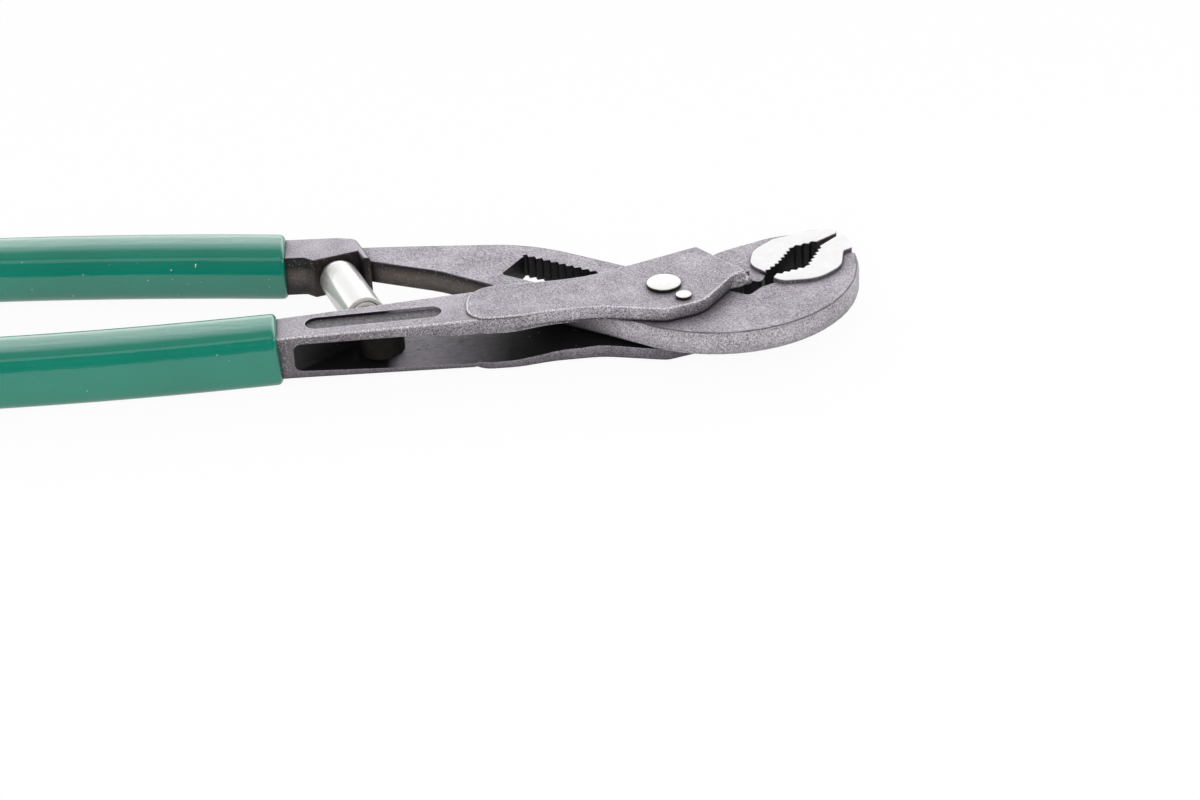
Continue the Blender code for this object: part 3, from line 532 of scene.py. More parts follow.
# glossy dipped vinyl: slow ripples along the handle, fine lint and a little tone change
vinyl = {
    "shader": {"Metallic": 0.0, "IOR": 1.64},
    "deep": (0.0020, 0.172, 0.114, 1.0),
    "fresh": (0.0030, 0.194, 0.130, 1.0),
    "lint": (0.760, 0.880, 0.840, 1.0),
    "tone": (60.0, 3.0, 0.5),
    "ripple": (330.0, 3.0, 0.5, (3.0, 1.0, 1.0)),
    "streak": (950.0, 2.0, 0.5, (9.0, 1.0, 1.0)),
    "streakHeight": 0.45,
    "peel": (1500.0, 2.0, 0.5),
    "peelHeight": 0.05,
    "rough": (0.10, 0.15),
    "fibre": (900.0, 1.0, 0.4, (9.0, 1.0, 1.0), 0.9),
    "fibreTone": (0.785, 0.80, 0.0, 0.6),
    "bigLint": (1300.0, 0.050, 0.26),
    "fineLint": (2200.0, 0.10, 0.16),
    "lintShare": 0.85,
    "lintRough": 0.4,
    "relief": (0.25, 0.00025),
}


def greenVinyl():
    made, shader, place = newMaterial("greenVinyl", vinyl)
    ripple = noise(place, *vinyl["ripple"])
    streak = noise(place, *vinyl["streak"])
    peel = noise(place, *vinyl["peel"])
    colour = blendColour(spread(noise(place, *vinyl["tone"])), vinyl["deep"], vinyl["fresh"])
    fibre = remap(noise(place, *vinyl["fibre"]), *vinyl["fibreTone"])
    lint = largest(specks(place, *vinyl["bigLint"]), specks(place, *vinyl["fineLint"]), fibre)
    colour = blendColour(times(lint, vinyl["lintShare"]), colour, vinyl["lint"])
    rough = calc("ADD", spread(peel, *vinyl["rough"]), times(lint, vinyl["lintRough"]))
    height = calc("ADD", ripple, times(peel, vinyl["peelHeight"]))
    height = calc("ADD", height, times(streak, vinyl["streakHeight"]))
    dress(shader, colour, rough, height, vinyl["relief"])
    return made


finishes = {
    "forkSteel": forgedSteel("forkSteel", False),
    "slideSteel": forgedSteel("slideSteel", True),
    "inner": shadedInnerSteel(),
    "sunk": shadedSunkSteel(),
    "ground": groundSteel(),
    "black": darkSteel("oxideAndShadeSteel", oxideAndShade),
    "bright": brightSteel("brightSteel", False),
    "head": brightSteel("headSteel", True),
    "chrome": strutChrome(),
    "spring": darkSteel("springSteel", temper),
    "oilAndShade": darkSteel("oilAndShadeSteel", oilAndShade),
    "vinyl": greenVinyl(),
}
print("finishes ready:", ", ".join(finishes))


def newObject(name, data):
    made = bpy.data.objects.new(name, data)
    bpy.context.scene.collection.objects.link(made)
    return made


def newMesh(name, bm):
    mesh = bpy.data.meshes.new(name)
    bm.to_mesh(mesh)
    bm.free()
    return mesh


# pieces: merged copies of the solids, and finer shapes where the solid is coarse
def showPiece(name, mesh, body, nodes):
    piece = newObject(name, mesh)
    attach(piece, body)
    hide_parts(*nodes)


def smoothMesh(name, bm, materials, sharpAngle):
    mesh = newMesh(name, bm)
    mesh.shade_smooth()
    mesh.set_sharp_from_angle(angle=math.radians(sharpAngle))
    for key in materials:
        mesh.materials.append(finishes[key])
    return mesh


def plainMesh(carrier):
    # the carrier's mesh with its modifiers applied; the carrier is not kept
    shaped = carrier.evaluated_get(bpy.context.evaluated_depsgraph_get())
    made = bpy.data.meshes.new_from_object(shaped)
    carrier.modifiers.clear()
    bpy.data.objects.remove(carrier)
    return made


def weighted(name, bm, materials, sharpAngle):
    # smooth mesh whose normals lean on the large faces, so flats stay flat beside rounded rims
    mesh = smoothMesh(name, bm, materials, sharpAngle)
    limit = math.cos(math.radians(sharpAngle))
    faces = [(face.normal.copy(), face.area) for face in mesh.polygons]
    around = [[] for vert in mesh.vertices]
    for face in mesh.polygons:
        for vert in face.vertices:
            around[vert].append(faces[face.index])
    corners = []
    for face in mesh.polygons:
        for vert in face.vertices:
            total = face.normal * 1e-12
            for normal, area in around[vert]:
                if normal.dot(face.normal) > limit:
                    total += normal * area
            corners.append(total.normalized())
    mesh.normals_split_custom_set(corners)
    return mesh


def solidCopy(node):
    bm = bmesh.new()
    bm.from_mesh(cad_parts[node].data)
    bmesh.ops.remove_doubles(bm, verts=bm.verts, dist=mergeDistance)
    bmesh.ops.dissolve_degenerate(bm, edges=bm.edges, dist=mergeDistance / 2)
    bm.normal_update()
    return bm


def nearLine(point, line, reach):
    for first, last in zip(line, line[1:]):
        start = Vector(first)
        run = Vector(last) - start
        share = min(max((point - start).dot(run) / run.length_squared, 0.0), 1.0)
        if (point - start - run * share).length < reach:
            return True
    return False


# where the ground faces and the faces of black oxide and painted shade lie
jaws = {
    "bossHalf": 0.0042,  # ground faces lie this far from the mid-plane
    "bladeHalf": 0.0032,
    "bossFromX": 0.0220,
    "bossTolerance": 0.00004,
    "farMouth": ((0.0273, 0.0099), (0.0312, 0.0147), (0.0355, 0.0233), (0.0420, 0.0259)),
    "nearMouth": ((0.0300, 0.0092), (0.0379, 0.0125), (0.0425, 0.0233)),
    "throat": ((0.0176, 0.0042), (0.0193, 0.0055), (0.0212, 0.0062), (0.0250, 0.0072), (0.0273, 0.0099)),
    "mouthReach": 0.0011,
    "throatReach": 0.00154,
    "throatHalf": 0.0035,
    "slotAngle": -32.0,
    "slotAlong": (-0.0462, 0.0130),
    "slotAcross": (-0.0072, 0.0061),
}


def isBoss(normal, centre):
    level = abs(abs(centre.z - midHeight) - jaws["bossHalf"]) < jaws["bossTolerance"]
    return abs(normal.z) > 0.95 and level and centre.x > jaws["bossFromX"]


def isBossWall(normal, centre):
    raised = jaws["bladeHalf"] < abs(centre.z - midHeight) < jaws["bossHalf"]
    return abs(normal.z) < 0.7 and raised and centre.x > jaws["bossFromX"]


def isThroat(normal, centre):
    low = abs(centre.z - midHeight) < jaws["throatHalf"]
    return low and abs(normal.z) < 0.6 and nearLine(centre.xy, jaws["throat"], jaws["throatReach"])


def isToothed(normal, centre, mouth):
    return abs(normal.z) < 0.6 and nearLine(centre.xy, mouth, jaws["mouthReach"])


def inSlot(normal, centre):
    spot = Matrix.Rotation(-math.radians(jaws["slotAngle"]), 2) @ centre.xy
    along = jaws["slotAlong"][0] < spot.x < jaws["slotAlong"][1]
    across = jaws["slotAcross"][0] < spot.y < jaws["slotAcross"][1]
    return abs(normal.z) < 0.5 and along and across


# window and recess in the fork's shank
window = {
    "back": ((-0.0950, -0.0145), (-0.0815, -0.0025)),
    "backReach": 0.0022,
    "half": 0.0036,
    "webHalf": 0.0025,
    "recess": ((-0.0932, -0.0118), (-0.0570, -0.0024)),  # long recess on top of the shank
    "recessFrom": 0.0045,
    "recessDepth": 0.0004,  # faces at least this far below the shank's top are its floor
    "shankTop": (-0.1000, 0.0056, -0.0480, 0.0065),  # x and height where the shank's taper starts and ends
}


def inRecess(centre):
    low, high = window["recess"]
    over = low[0] < centre.x < high[0] and low[1] < centre.y < high[1]
    return over and centre.z - midHeight > window["recessFrom"]


def isRecessFloor(normal, centre):
    fromX, fromTop, toX, toTop = window["shankTop"]
    top = fromTop + (toTop - fromTop) * (centre.x - fromX) / (toX - fromX)
    return inRecess(centre) and normal.z > 0.5 and centre.z - midHeight < top - window["recessDepth"]


def isInner(normal, centre):
    # floor and roof between the cheeks, the window's back wall and the walls of the recess, which get the
    # inner finish's painted shade
    height = centre.z - midHeight
    if normal.z * height < 0 and abs(normal.z) > 0.5 and abs(height) > window["webHalf"]:
        return True
    facing = abs(height) < window["half"] and normal.x > 0.3
    if facing and nearLine(centre.xy, window["back"], window["backReach"]):
        return True
    return inRecess(centre) and abs(normal.z) < 0.5


# rough lug left at the upper cheek's throat
lug = {
    "foot": (
        (0.0174, 0.0026), (0.0199, 0.0034), (0.0224, 0.0048),
        (0.0236, 0.0063), (0.0226, 0.0080), (0.0185, 0.0080),
    ),
    "crest": (
        (0.0179, 0.0044, 0.0069), (0.0193, 0.0048, 0.0070), (0.0208, 0.0055, 0.0069),
        (0.0219, 0.0062, 0.0062), (0.0223, 0.0072, 0.0058), (0.0200, 0.0072, 0.0069),
        (0.0182, 0.0060, 0.0069),
    ),
    "low": 0.0036,
    "smooth": 0.0008,  # lumps grow over this height
    "grain": 0.0002,
    "lumps": 0.00034,
    "lumpSize": 0.0018,
}


def lugMesh():
    bm = bmesh.new()
    for x, y in lug["foot"]:
        bm.verts.new((x, y, midHeight + lug["low"]))
    for x, y, height in lug["crest"]:
        bm.verts.new((x, y, midHeight + height))
    bmesh.ops.convex_hull(bm, input=bm.verts)
    carrier = newObject("lug", newMesh("lug", bm))
    even = carrier.modifiers.new("even", "REMESH")
    even.mode = "VOXEL"
    even.voxel_size = lug["grain"]
    made = plainMesh(carrier)
    for vert in made.vertices:
        push = turbulence(vert.co / lug["lumpSize"], 3, False) * lug["lumps"]
        low = vert.co.z - midHeight - lug["low"]
        vert.co += vert.normal * (push - lug["lumps"] * 0.5) * min(max(low / lug["smooth"], 0.0), 1.0)
    return made


def makeForging(name, node, mouth, body, steel, fork):
    bm = solidCopy(node)
    if fork:
        bm.from_mesh(lugMesh())
        bm.normal_update()
    for face in bm.faces:
        normal, centre = face.normal, face.calc_center_median()
        # throat, slot and teeth flanks: black oxide with painted shade
        oxideAndShadeSide = isThroat(normal, centre) if fork else inSlot(normal, centre)
        if isBoss(normal, centre):
            face.material_index = 1
        elif oxideAndShadeSide or isToothed(normal, centre, mouth):
            face.material_index = 2
        # faces between the cheeks and the recess walls: painted shade
        elif fork and isInner(normal, centre):
            face.material_index = 3
        # boss walls and the recess floor: painted shade
        elif isBossWall(normal, centre) or (fork and isRecessFloor(normal, centre)):
            face.material_index = 4
        else:
            face.material_index = 0
    mesh = weighted(name, bm, (steel, "ground", "black", "inner", "sunk"), sharpAngles["forging"])
    showPiece(name, mesh, body, [node])


makeForging("forkForging", "fork_lever", jaws["farMouth"], "fork", "forkSteel", True)
makeForging("slideForging", "slide_lever", jaws["nearMouth"], "slide_lever", "slideSteel", False)
print("forgings dressed")


# dipped grips: a rounded box section swept along each handle, hollow for the tang
grip = {
    "halfHeight": 0.00785,
    "forkSides": (0.00785, 3.5, 0.00785, 3.5),  # half width and fullness, near and far; 2 is an ellipse
    "slideSides": (0.00830, 2.7, 0.00785, 3.8),
    "tangHeight": 0.0059,
    "shape": {
        "Tang Width": 0.00605, "Tang Corner": 0.0011, "Lip": 0.0015, "Dome": 0.0052,
        "Rings": 110, "Section Points": 132, "Bore Rings": 40,
    },
    "forkPath": ((-0.0996, -0.0095), (-0.1480, -0.0135), (-0.1932, -0.0144)),
    "slidePath": ((-0.1005, 0.0349), (-0.1480, 0.0399), (-0.1932, 0.0424)),
    "forkExtra": 0.0008,  # the fork's handle is deeper on its lower side
    "forkMouth": (0.00033, -0.00033, 0.0),  # slant of the mouth across, in height and as a whole
    "slideMouth": (-0.00135, 0.00005, -0.0003),
    "mouthReach": 0.020,
    "tipPast": 0.0032,  # skin ends this far past the handle's end
    "boreShort": 0.0020,  # bore ends this far before it
    "boreFrom": -0.02,  # share of the handle's length at which the bore starts
    "curvePoints": 200,
    "cornerPoints": 6,
    "leastScale": 0.002,
}


def handleCurve(path, low, high, height):
    # start, control and end of the handle's curve between two shares of its length
    start, middle, end = (Vector((x, y, height)) for x, y in path)
    control = 2 * middle - (start + end) / 2

    def blossom(a, b):
        return (1 - a) * ((1 - b) * start + b * control) + a * ((1 - b) * control + b * end)

    return blossom(low, low), blossom(low, high), blossom(high, high)


def newTree(name, inputs):
    tree = bpy.data.node_groups.new(name, "GeometryNodeTree")
    for kind, labels in inputs.items():
        for label in labels:
            tree.interface.new_socket(label, in_out="INPUT", socket_type="NodeSocket" + kind)
    tree.interface.new_socket("Geometry", in_out="OUTPUT", socket_type="NodeSocketGeometry")
    return tree, tree.nodes.new("NodeGroupInput").outputs, tree.nodes.new("NodeGroupOutput")


def shape(tree, kind, values=None, **settings):
    return addNode(tree, "GeometryNode" + kind, values, **settings).outputs[0]


def sweep(tree, path, section, scale=1.0):
    values = {"Curve": path, "Profile Curve": section, "Scale": scale, "Fill Caps": True}
    return shape(tree, "CurveToMesh", values)


def closeTree(tree, mesh, material, result):
    whole = shape(tree, "RealizeInstances", {"Geometry": mesh})
    coated = shape(tree, "SetMaterial", {"Geometry": whole, "Material": material})
    tree.links.new(coated, result.inputs[0])


def runTree(name, tree, values):
    # build with the tree once and keep the plain mesh
    carrier = newObject(name, bpy.data.meshes.new(name))
    step = carrier.modifiers.new("shape", "NODES")
    step.node_group = tree
    for item in tree.interface.items_tree:
        if item.in_out == "INPUT" and item.name in values:
            step[item.identifier] = values[item.name]
    mesh = plainMesh(carrier)
    mesh.name = name
    return mesh


def pathPoints(tree, given, prefix, count, crowded):
    # points along the handle, crowded towards the lip and the dome where asked
    start, control, end = (given[prefix + label] for label in ("Start", "Control", "End"))
    values = {"Resolution": grip["curvePoints"], "Start": start, "Middle": control, "End": end}
    curve = shape(tree, "CurveQuadraticBezier", values)
    line = shape(tree, "MeshLine", {"Count": count}, mode="OFFSET")
    share = calc("DIVIDE", shape(tree, "InputIndex"), calc("SUBTRACT", count, 1.0))
    if crowded:
        wave = calc("COSINE", times(share, math.pi), None)
        share = times(calc("SUBTRACT", 1.0, wave), 0.5)
    values = {"Curves": curve, "Factor": share}
    spot = addNode(tree, "GeometryNodeSampleCurve", values, mode="FACTOR", use_all_curves=True)
    values = {"Geometry": line, "Position": spot.outputs["Position"]}
    path = shape(tree, "MeshToCurve", {"Mesh": shape(tree, "SetPosition", values)})
    return shape(tree, "SetCurveNormal", {"Curve": path}, mode="Z_UP")


def roundShare(distance, reach):
    # quarter round: 0 at the very end, 1 from the reach onwards
    left = calc("SUBTRACT", 1.0, calc("DIVIDE", distance, reach, True))
    return calc("SQRT", calc("SUBTRACT", 1.0, times(left, left), True), None)


def boxSection(tree, given):
    values = {"Width": times(given["Tang Width"], 2.0), "Height": times(given["Tang Height"], 2.0)}
    outline = shape(tree, "CurvePrimitiveQuadrilateral", values)
    values = {"Curve": outline, "Count": grip["cornerPoints"], "Radius": given["Tang Corner"]}
    return shape(tree, "FilletCurve", values, mode="POLY")


def fullSection(tree, given):
    # squared-off ellipse, its near and far side each with a width and fullness of their own
    ring = shape(tree, "CurvePrimitiveCircle", {"Resolution": given["Section Points"], "Radius": 1.0})
    place = parts(shape(tree, "InputPosition"))
    side = calc("GREATER_THAN", place["X"], 0.0)
    halfWidth = blendValue(side, given["Near Width"], given["Far Width"])
    power = calc("DIVIDE", 2.0, blendValue(side, given["Near Fullness"], given["Far Fullness"]))
    reach = []
    for axis, half in (("X", halfWidth), ("Y", given["Half Height"])):
        size = calc("POWER", calc("ABSOLUTE", place[axis], None), power)
        size = times(size, calc("SIGN", place[axis], None))
        reach.append(times(size, half))
    spot = addNode(tree, "ShaderNodeCombineXYZ", {0: reach[0], 1: reach[1]}).outputs[0]
    return shape(tree, "SetPosition", {"Geometry": ring, "Position": spot})


def gripTree():
    inputs = {
        "Vector": ("Start", "Control", "End", "Hollow Start", "Hollow Control", "Hollow End"),
        "Float": (
            "Near Width", "Near Fullness", "Far Width", "Far Fullness", "Half Height",
            "Tang Width", "Tang Height", "Tang Corner", "Lip", "Dome",
        ),
        "Int": ("Rings", "Section Points", "Bore Rings"),
        "Material": ("Material",),
    }
    tree, given, result = newTree("dippedGrip", inputs)
    path = pathPoints(tree, given, "", given["Rings"], True)
    along = addNode(tree, "GeometryNodeSplineParameter").outputs["Length"]
    total = addNode(tree, "GeometryNodeSplineLength").outputs["Length"]
    dome = roundShare(calc("SUBTRACT", total, along), given["Dome"])
    drop = times(calc("SUBTRACT", 1.0, roundShare(along, given["Lip"])), given["Lip"])
    lip = calc("SUBTRACT", 1.0, calc("DIVIDE", drop, given["Half Height"]))
    scale = largest(times(dome, lip), grip["leastScale"])
    body = sweep(tree, path, fullSection(tree, given), scale)
    bore = pathPoints(tree, given, "Hollow ", given["Bore Rings"], False)
    hollow = sweep(tree, bore, boxSection(tree, given))
    values = {"Mesh 1": body, "Mesh 2": hollow}
    cut = shape(tree, "MeshBoolean", values, operation="DIFFERENCE", solver="EXACT")
    closeTree(tree, cut, given["Material"], result)
    return tree


def slantMouth(bm, start, slant, halfWidth, halfHeight):
    # the dipped edge runs a little askew round the handle
    across, upright, whole = slant
    for vert in bm.verts:
        share = min(max(1.0 - (start.x - vert.co.x) / grip["mouthReach"], 0.0), 1.0) ** 2
        offset = vert.co - start
        vert.co.x += share * (across * offset.y / halfWidth + upright * offset.z / halfHeight + whole)


def roundEnd(bm, control, end, sides, halfHeight):
    # the squared section turns into an ellipse towards the tip
    ahead = (end - control).normalized()
    aside = ahead.cross(Vector((0.0, 0.0, 1.0)))
    for vert in bm.verts:
        offset = vert.co - end
        share = 1.0 + offset.dot(ahead) / grip["shape"]["Dome"]
        if share > 0.0:
            halfWidth, power = sides[:2] if offset.y < 0.0 else sides[2:]
            wide = abs(offset.dot(aside)) / halfWidth
            tall = abs(offset.z) / halfHeight
            full = (wide ** power + tall ** power) ** (1.0 / power)
            plain = max(math.hypot(wide, tall), 1e-6)
            shrink = 1.0 + (full / plain - 1.0) * min(share * share * (3.0 - 2.0 * share), 1.0)
            vert.co += aside * offset.dot(aside) * (shrink - 1.0)
            vert.co.z += offset.z * (shrink - 1.0)


def makeGrip(name, tree, side, extra, body, node):
    path, sides, slant = (grip[side + kind] for kind in ("Path", "Sides", "Mouth"))
    height = midHeight - extra / 2
    length = (Vector(path[2]) - Vector(path[0])).length
    start, control, end = handleCurve(path, 0.0, 1.0 + grip["tipPast"] / length, height)
    boreEnd = 1.0 - grip["boreShort"] / length
    hollow = handleCurve(path, grip["boreFrom"], boreEnd, height)
    halfHeight = grip["halfHeight"] + extra / 2
    values = {"Start": start, "Control": control, "End": end, "Half Height": halfHeight, **grip["shape"]}
    values.update({"Tang Height": grip["tangHeight"] + extra / 2, "Material": finishes["vinyl"]})
    values.update(zip(("Hollow Start", "Hollow Control", "Hollow End"), hollow))
    values.update(zip(("Near Width", "Near Fullness", "Far Width", "Far Fullness"), sides))
    bm = bmesh.new()
    bm.from_mesh(runTree(name, tree, values))
    bmesh.ops.remove_doubles(bm, verts=bm.verts, dist=mergeDistance)
    slantMouth(bm, start, slant, sides[2], grip["halfHeight"])
    roundEnd(bm, control, end, sides, halfHeight)
    bmesh.ops.recalc_face_normals(bm, faces=bm.faces)
    mesh = smoothMesh(name, bm, ("vinyl",), sharpAngles["grip"])
    showPiece(name, mesh, body, [node])


sleeveTree = gripTree()
makeGrip("forkSleeve", sleeveTree, "fork", grip["forkExtra"], "fork", "fork_grip")
makeGrip("slideSleeve", sleeveTree, "slide", 0.0, "slide_lever", "slide_grip")
print("grips dipped")


# turned pieces
turning = {"steps": 96, "edgeSteps": 5, "domeSteps": 16}


def turnedMesh(name, profile, place, finish):
    bm = bmesh.new()
    rings = []
    for radius, height in profile:
        count = turning["steps"] if radius else 1
        angles = [2 * math.pi * k / count for k in range(count)]
        rings.append([bm.verts.new((radius * math.cos(a), radius * math.sin(a), height)) for a in angles])
    for low, high in zip(rings, rings[1:]):
        for k in range(turning["steps"]):
            corners = [low[k % len(low)], low[(k + 1) % len(low)]]
            corners += [high[(k + 1) % len(high)], high[k % len(high)]]
            bm.faces.new(list(dict.fromkeys(corners)))
    bmesh.ops.remove_doubles(bm, verts=bm.verts, dist=mergeDistance / 2)
    bmesh.ops.recalc_face_normals(bm, faces=bm.faces)
    bm.transform(place)
    return weighted(name, bm, (finish,), sharpAngles["turned"])


def quarterTurn(steps):
    return [math.pi / 2 * k / steps for k in range(steps + 1)]


def roundEdge(radius, top, size):
    # outer corner of a head, from its flat top round to its side
    turns = quarterTurn(turning["edgeSteps"])
    return [(radius - size + size * math.sin(a), top - size + size * math.cos(a)) for a in turns]


rivet = {"shank": 0.0028, "head": 0.0045, "rise": 0.0009, "edge": 0.00035, "crown": 0.00012}
pin = {"shank": 0.0015, "head": 0.0021, "rise": 0.0006, "edge": 0.0003, "spot": (0.0048, -0.0068)}
cheekTop = 0.0075  # seat of a head over the mid-plane
lowerExtra = 0.0008  # the lower cheek is this much deeper


def headProfile(size):
    top = cheekTop + size["rise"]
    crown = size.get("crown", 0.0)
    half = [(0.0, top), (size["head"] * 0.55, top - crown * 0.3)]
    half += roundEdge(size["head"], top - crown, size["edge"])
    half += [(size["head"], cheekTop), (size["shank"], cheekTop)]
    lower = [(radius, -height - lowerExtra) for radius, height in half]
    return lower + list(reversed(half))


def makeHeaded(name, size, spot, body, node):
    place = Matrix.Translation((*spot, midHeight))
    mesh = turnedMesh(name, headProfile(size), place, "head")
    showPiece(name, mesh, body, [node])


makeHeaded("pivotRivet", rivet, (0.0, 0.0), "rivet", "main_rivet")
makeHeaded("stopPin", pin, pin["spot"], "fork", "stop_pin")
print("rivet and stop pin turned")


# strut between the levers
strut = {
    "eye": (-0.0736, -0.0070),
    "eyeReach": 0.0068,
    "radius": 0.00535,
    "wall": 0.0011,
    "length": 0.0223,
    "rim": 0.0004,
    "glandLength": 0.0024,
    "glandEdge": 0.0002,
    "rodHole": 0.0029,
    "gap": 0.0003,
    "wire": 0.0009,
    "turns": 6.0,
    "coilSteps": 48,
    "wireSides": 12,
    "pistonBack": 0.0147,
    "pistonRise": 0.0013,  # room for the piston when the handles open
}
strutBore = strut["radius"] - strut["wall"]
strutFloor = strut["wall"] - strut["radius"] / 2
strutAlong = Vector((*strut["eye"], midHeight)) - socketSpot
strutPlace = Matrix.Translation(socketSpot) @ strutAlong.to_track_quat("Z", "Y").to_matrix().to_4x4()


def makeStrutTube():
    radius, end, rim = strut["radius"], strut["length"], strut["rim"]
    turns = quarterTurn(turning["domeSteps"])
    profile = [(radius * math.sin(a), -radius * math.cos(a)) for a in turns]
    profile += reversed(roundEdge(radius, end, rim))
    profile += [(strutBore + rim / 2, end), (strutBore, end - rim / 2)]
    profile += [(strutBore, strutFloor), (0.0, strutFloor)]
    mesh = turnedMesh("strutTube", profile, strutPlace, "chrome")
    showPiece("strutTube", mesh, "strut_tube", ["strut_tube"])


def makeStrutGland():
    outer = strutBore - strut["gap"]
    inner, end, edge = strut["rodHole"], strut["length"], strut["glandEdge"]
    back = end - strut["glandLength"]
    profile = [(inner, back), (outer, back), (outer, end - edge), (outer - edge, end), (inner + edge, end)]
    profile += [(inner, end - edge), (inner, back)]
    mesh = turnedMesh("strutGland", profile, strutPlace, "bright")
    showPiece("strutGland", mesh, "strut_tube", ["strut_gland"])


def coilTree():
    inputs = {"Float": ("Radius", "Length", "Turns", "Wire"), "Material": ("Material",)}
    tree, given, result = newTree("strutCoil", inputs)
    values = {"Resolution": strut["coilSteps"], "Rotations": given["Turns"], "Height": given["Length"]}
    values.update({"Start Radius": given["Radius"], "End Radius": given["Radius"]})
    coil = shape(tree, "CurveSpiral", values)
    values = {"Resolution": strut["wireSides"], "Radius": calc("DIVIDE", given["Wire"], 2.0)}
    ring = shape(tree, "CurvePrimitiveCircle", values)
    closeTree(tree, sweep(tree, coil, ring), given["Material"], result)
    return tree


def makeStrutCoil():
    room = strut["gap"] + strut["wire"] / 2
    low = strutFloor + room
    high = strut["pistonBack"] - room - strut["pistonRise"]
    values = {"Radius": strutBore - room, "Length": high - low, "Turns": strut["turns"]}
    values.update({"Wire": strut["wire"], "Material": finishes["spring"]})
    mesh = runTree("strutCoil", coilTree(), values)
    mesh.transform(strutPlace @ Matrix.Translation((0.0, 0.0, low)))
    mesh.shade_smooth()
    mesh.set_sharp_from_angle(angle=math.radians(sharpAngles["fine"]))
    showPiece("strutCoil", mesh, "strut_tube", ["strut_spring"])


def makeCopied(name, node, body, finish):
    mesh = weighted(name, solidCopy(node), (finish,), sharpAngles["forging"])
    showPiece(name, mesh, body, [node])


def makeStrutRod():
    # the eye between the cheeks is painted nearly black as shade, with old oil
    bm = solidCopy("strut_rod")
    for face in bm.faces:
        offset = face.calc_center_median().xy - Vector(strut["eye"])
        face.material_index = 1 if offset.length < strut["eyeReach"] else 0
    mesh = weighted("strutRod", bm, ("bright", "oilAndShade"), sharpAngles["fine"])
    showPiece("strutRod", mesh, "strut_rod", ["strut_rod"])


makeStrutTube()
makeStrutGland()
makeStrutCoil()
makeStrutRod()
makeCopied("eyePin", "eye_pin", "fork", "bright")
makeCopied("lockPawl", "pawl", "pawl", "spring")
makeCopied("pawlLeaf", "pawl_spring", "carriage", "spring")
print("strut and pawl in place")


# pale table, white to the camera and to reflections, that keeps the shadow
table = {
    "size": 8.0,
    "pale": (0.90, 0.895, 0.905, 1.0),
    "keepShadow": 0.055,
    "frontEdge": (-0.100, -0.080),  # reflections find the sheet's end here
    "beyond": 0.12,
}


def makeTable():
    bm = bmesh.new()
    bmesh.ops.create_grid(bm, x_segments=1, y_segments=1, size=table["size"] / 2)
    mesh = newMesh("tableTop", bm)
    made = bpy.data.materials.new("tableWhite")
    made.use_nodes = True
    tree = made.node_tree
    tree.nodes.remove(tree.nodes["Principled BSDF"])
    matt = addNode(tree, "ShaderNodeBsdfDiffuse", {"Color": table["pale"]})
    glow = addNode(tree, "ShaderNodeEmission", {"Color": white})
    path = addNode(tree, "ShaderNodeLightPath").outputs
    depth = parts(addNode(tree, "ShaderNodeTexCoord").outputs["Object"])["Y"]
    sheet = remap(depth, *table["frontEdge"], table["beyond"], 1.0)
    tree.links.new(blendValue(path["Is Glossy Ray"], 1.0, sheet), glow.inputs["Strength"])
    seen = calc("ADD", path["Is Camera Ray"], path["Is Glossy Ray"])
    seen = calc("ADD", seen, path["Is Transmission Ray"], True)
    share = times(seen, 1.0 - table["keepShadow"])
    mix = addNode(tree, "ShaderNodeMixShader", {0: share, 1: matt.outputs[0], 2: glow.outputs[0]})
    tree.links.new(mix.outputs[0], tree.nodes["Material Output"].inputs["Surface"])
    mesh.materials.append(made)
    top = newObject("tableTop", mesh)


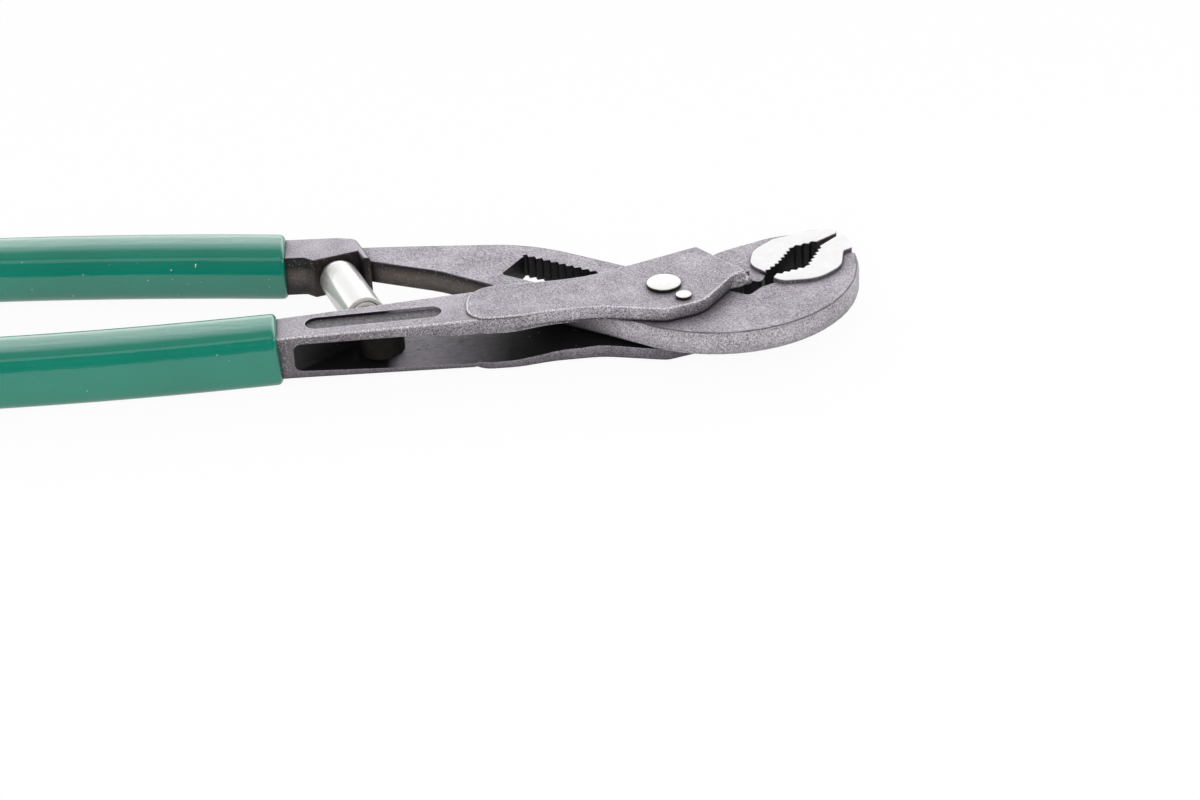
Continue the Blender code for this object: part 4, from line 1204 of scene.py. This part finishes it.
# soft studio light: a white wall behind, a softbox overhead and a dim room in front
studio = {
    "wall": (3.75, 1.60),  # near the horizon and higher up
    "ceiling": 0.48,
    "room": 0.05,
    "wallFade": (10.0, 36.0),  # degrees up from the horizon behind
    "wallFoot": (2.0, 15.0),
    "footShare": 0.30,
    "wallTop": (44.0, 64.0),
    "roomEdge": (92.0, 120.0),
    "aim": (-0.05, 0.0, 0.0),
    "lamps": {  # place, size, watts and whether reflections show it
        "softbox": ((0.0, -0.44, 0.95), (1.1, 0.36), 1.15, True),
        "sideStrip": ((1.20, -0.20, 0.55), (0.20, 0.30), 1.5, True),
        "frontFill": ((-0.2, -1.25, 0.75), (1.6, 1.2), 19.0, False),
    },
}


def makeStudio():
    world = bpy.data.worlds.new("studio")
    bpy.context.scene.world = world
    world.use_nodes = True
    tree = world.node_tree
    way = parts(addNode(tree, "ShaderNodeTexCoord").outputs["Generated"])
    rise = calc("DEGREES", calc("ARCTAN2", way["Z"], way["Y"]), None)
    level = remap(rise, *studio["wallFade"], *studio["wall"])
    level = times(level, remap(rise, *studio["wallFoot"], studio["footShare"], 1.0))
    level = blendValue(remap(rise, *studio["wallTop"]), level, studio["ceiling"])
    front = remap(rise, *studio["roomEdge"])
    level = blendValue(front, level, studio["room"])
    seen = addNode(tree, "ShaderNodeLightPath").outputs["Is Camera Ray"]
    level = blendValue(seen, level, 1.0)
    tree.links.new(level, tree.nodes["Background"].inputs["Strength"])
    tree.nodes["Background"].inputs["Color"].default_value = white
    for name, (place, size, watts, mirrored) in studio["lamps"].items():
        data = bpy.data.lights.new(name, "AREA")
        data.shape = "RECTANGLE"
        data.size, data.size_y = size
        data.energy = watts
        hung = newObject(name, data)
        hung.location = place
        aim = Vector(studio["aim"]) - hung.location
        hung.rotation_euler = aim.to_track_quat("-Z", "Y").to_euler()
        hung.visible_glossy = mirrored


# view from the front, a little above
cameraView = {
    "place": (-0.01805, -0.63977, 0.35836),
    "elevation": 30.4,
    "roll": -3.0,
    "lens": 84.0,
    "sensor": 36.0,
    "clipStart": 0.01,
}


def makeCamera():
    data = bpy.data.cameras.new("photoCamera")
    data.lens = cameraView["lens"]
    data.sensor_width = cameraView["sensor"]
    data.sensor_fit = "HORIZONTAL"
    data.clip_start = cameraView["clipStart"]
    camera = newObject("photoCamera", data)
    tilt = Matrix.Rotation(math.radians(90.0 - cameraView["elevation"]), 4, "X")
    roll = Matrix.Rotation(math.radians(cameraView["roll"]), 4, "Z")
    camera.matrix_world = Matrix.Translation(cameraView["place"]) @ tilt @ roll
    bpy.context.scene.camera = camera


makeTable()
makeStudio()
makeCamera()
bpy.context.scene.view_settings.view_transform = "Standard"
print("table, light and camera set")
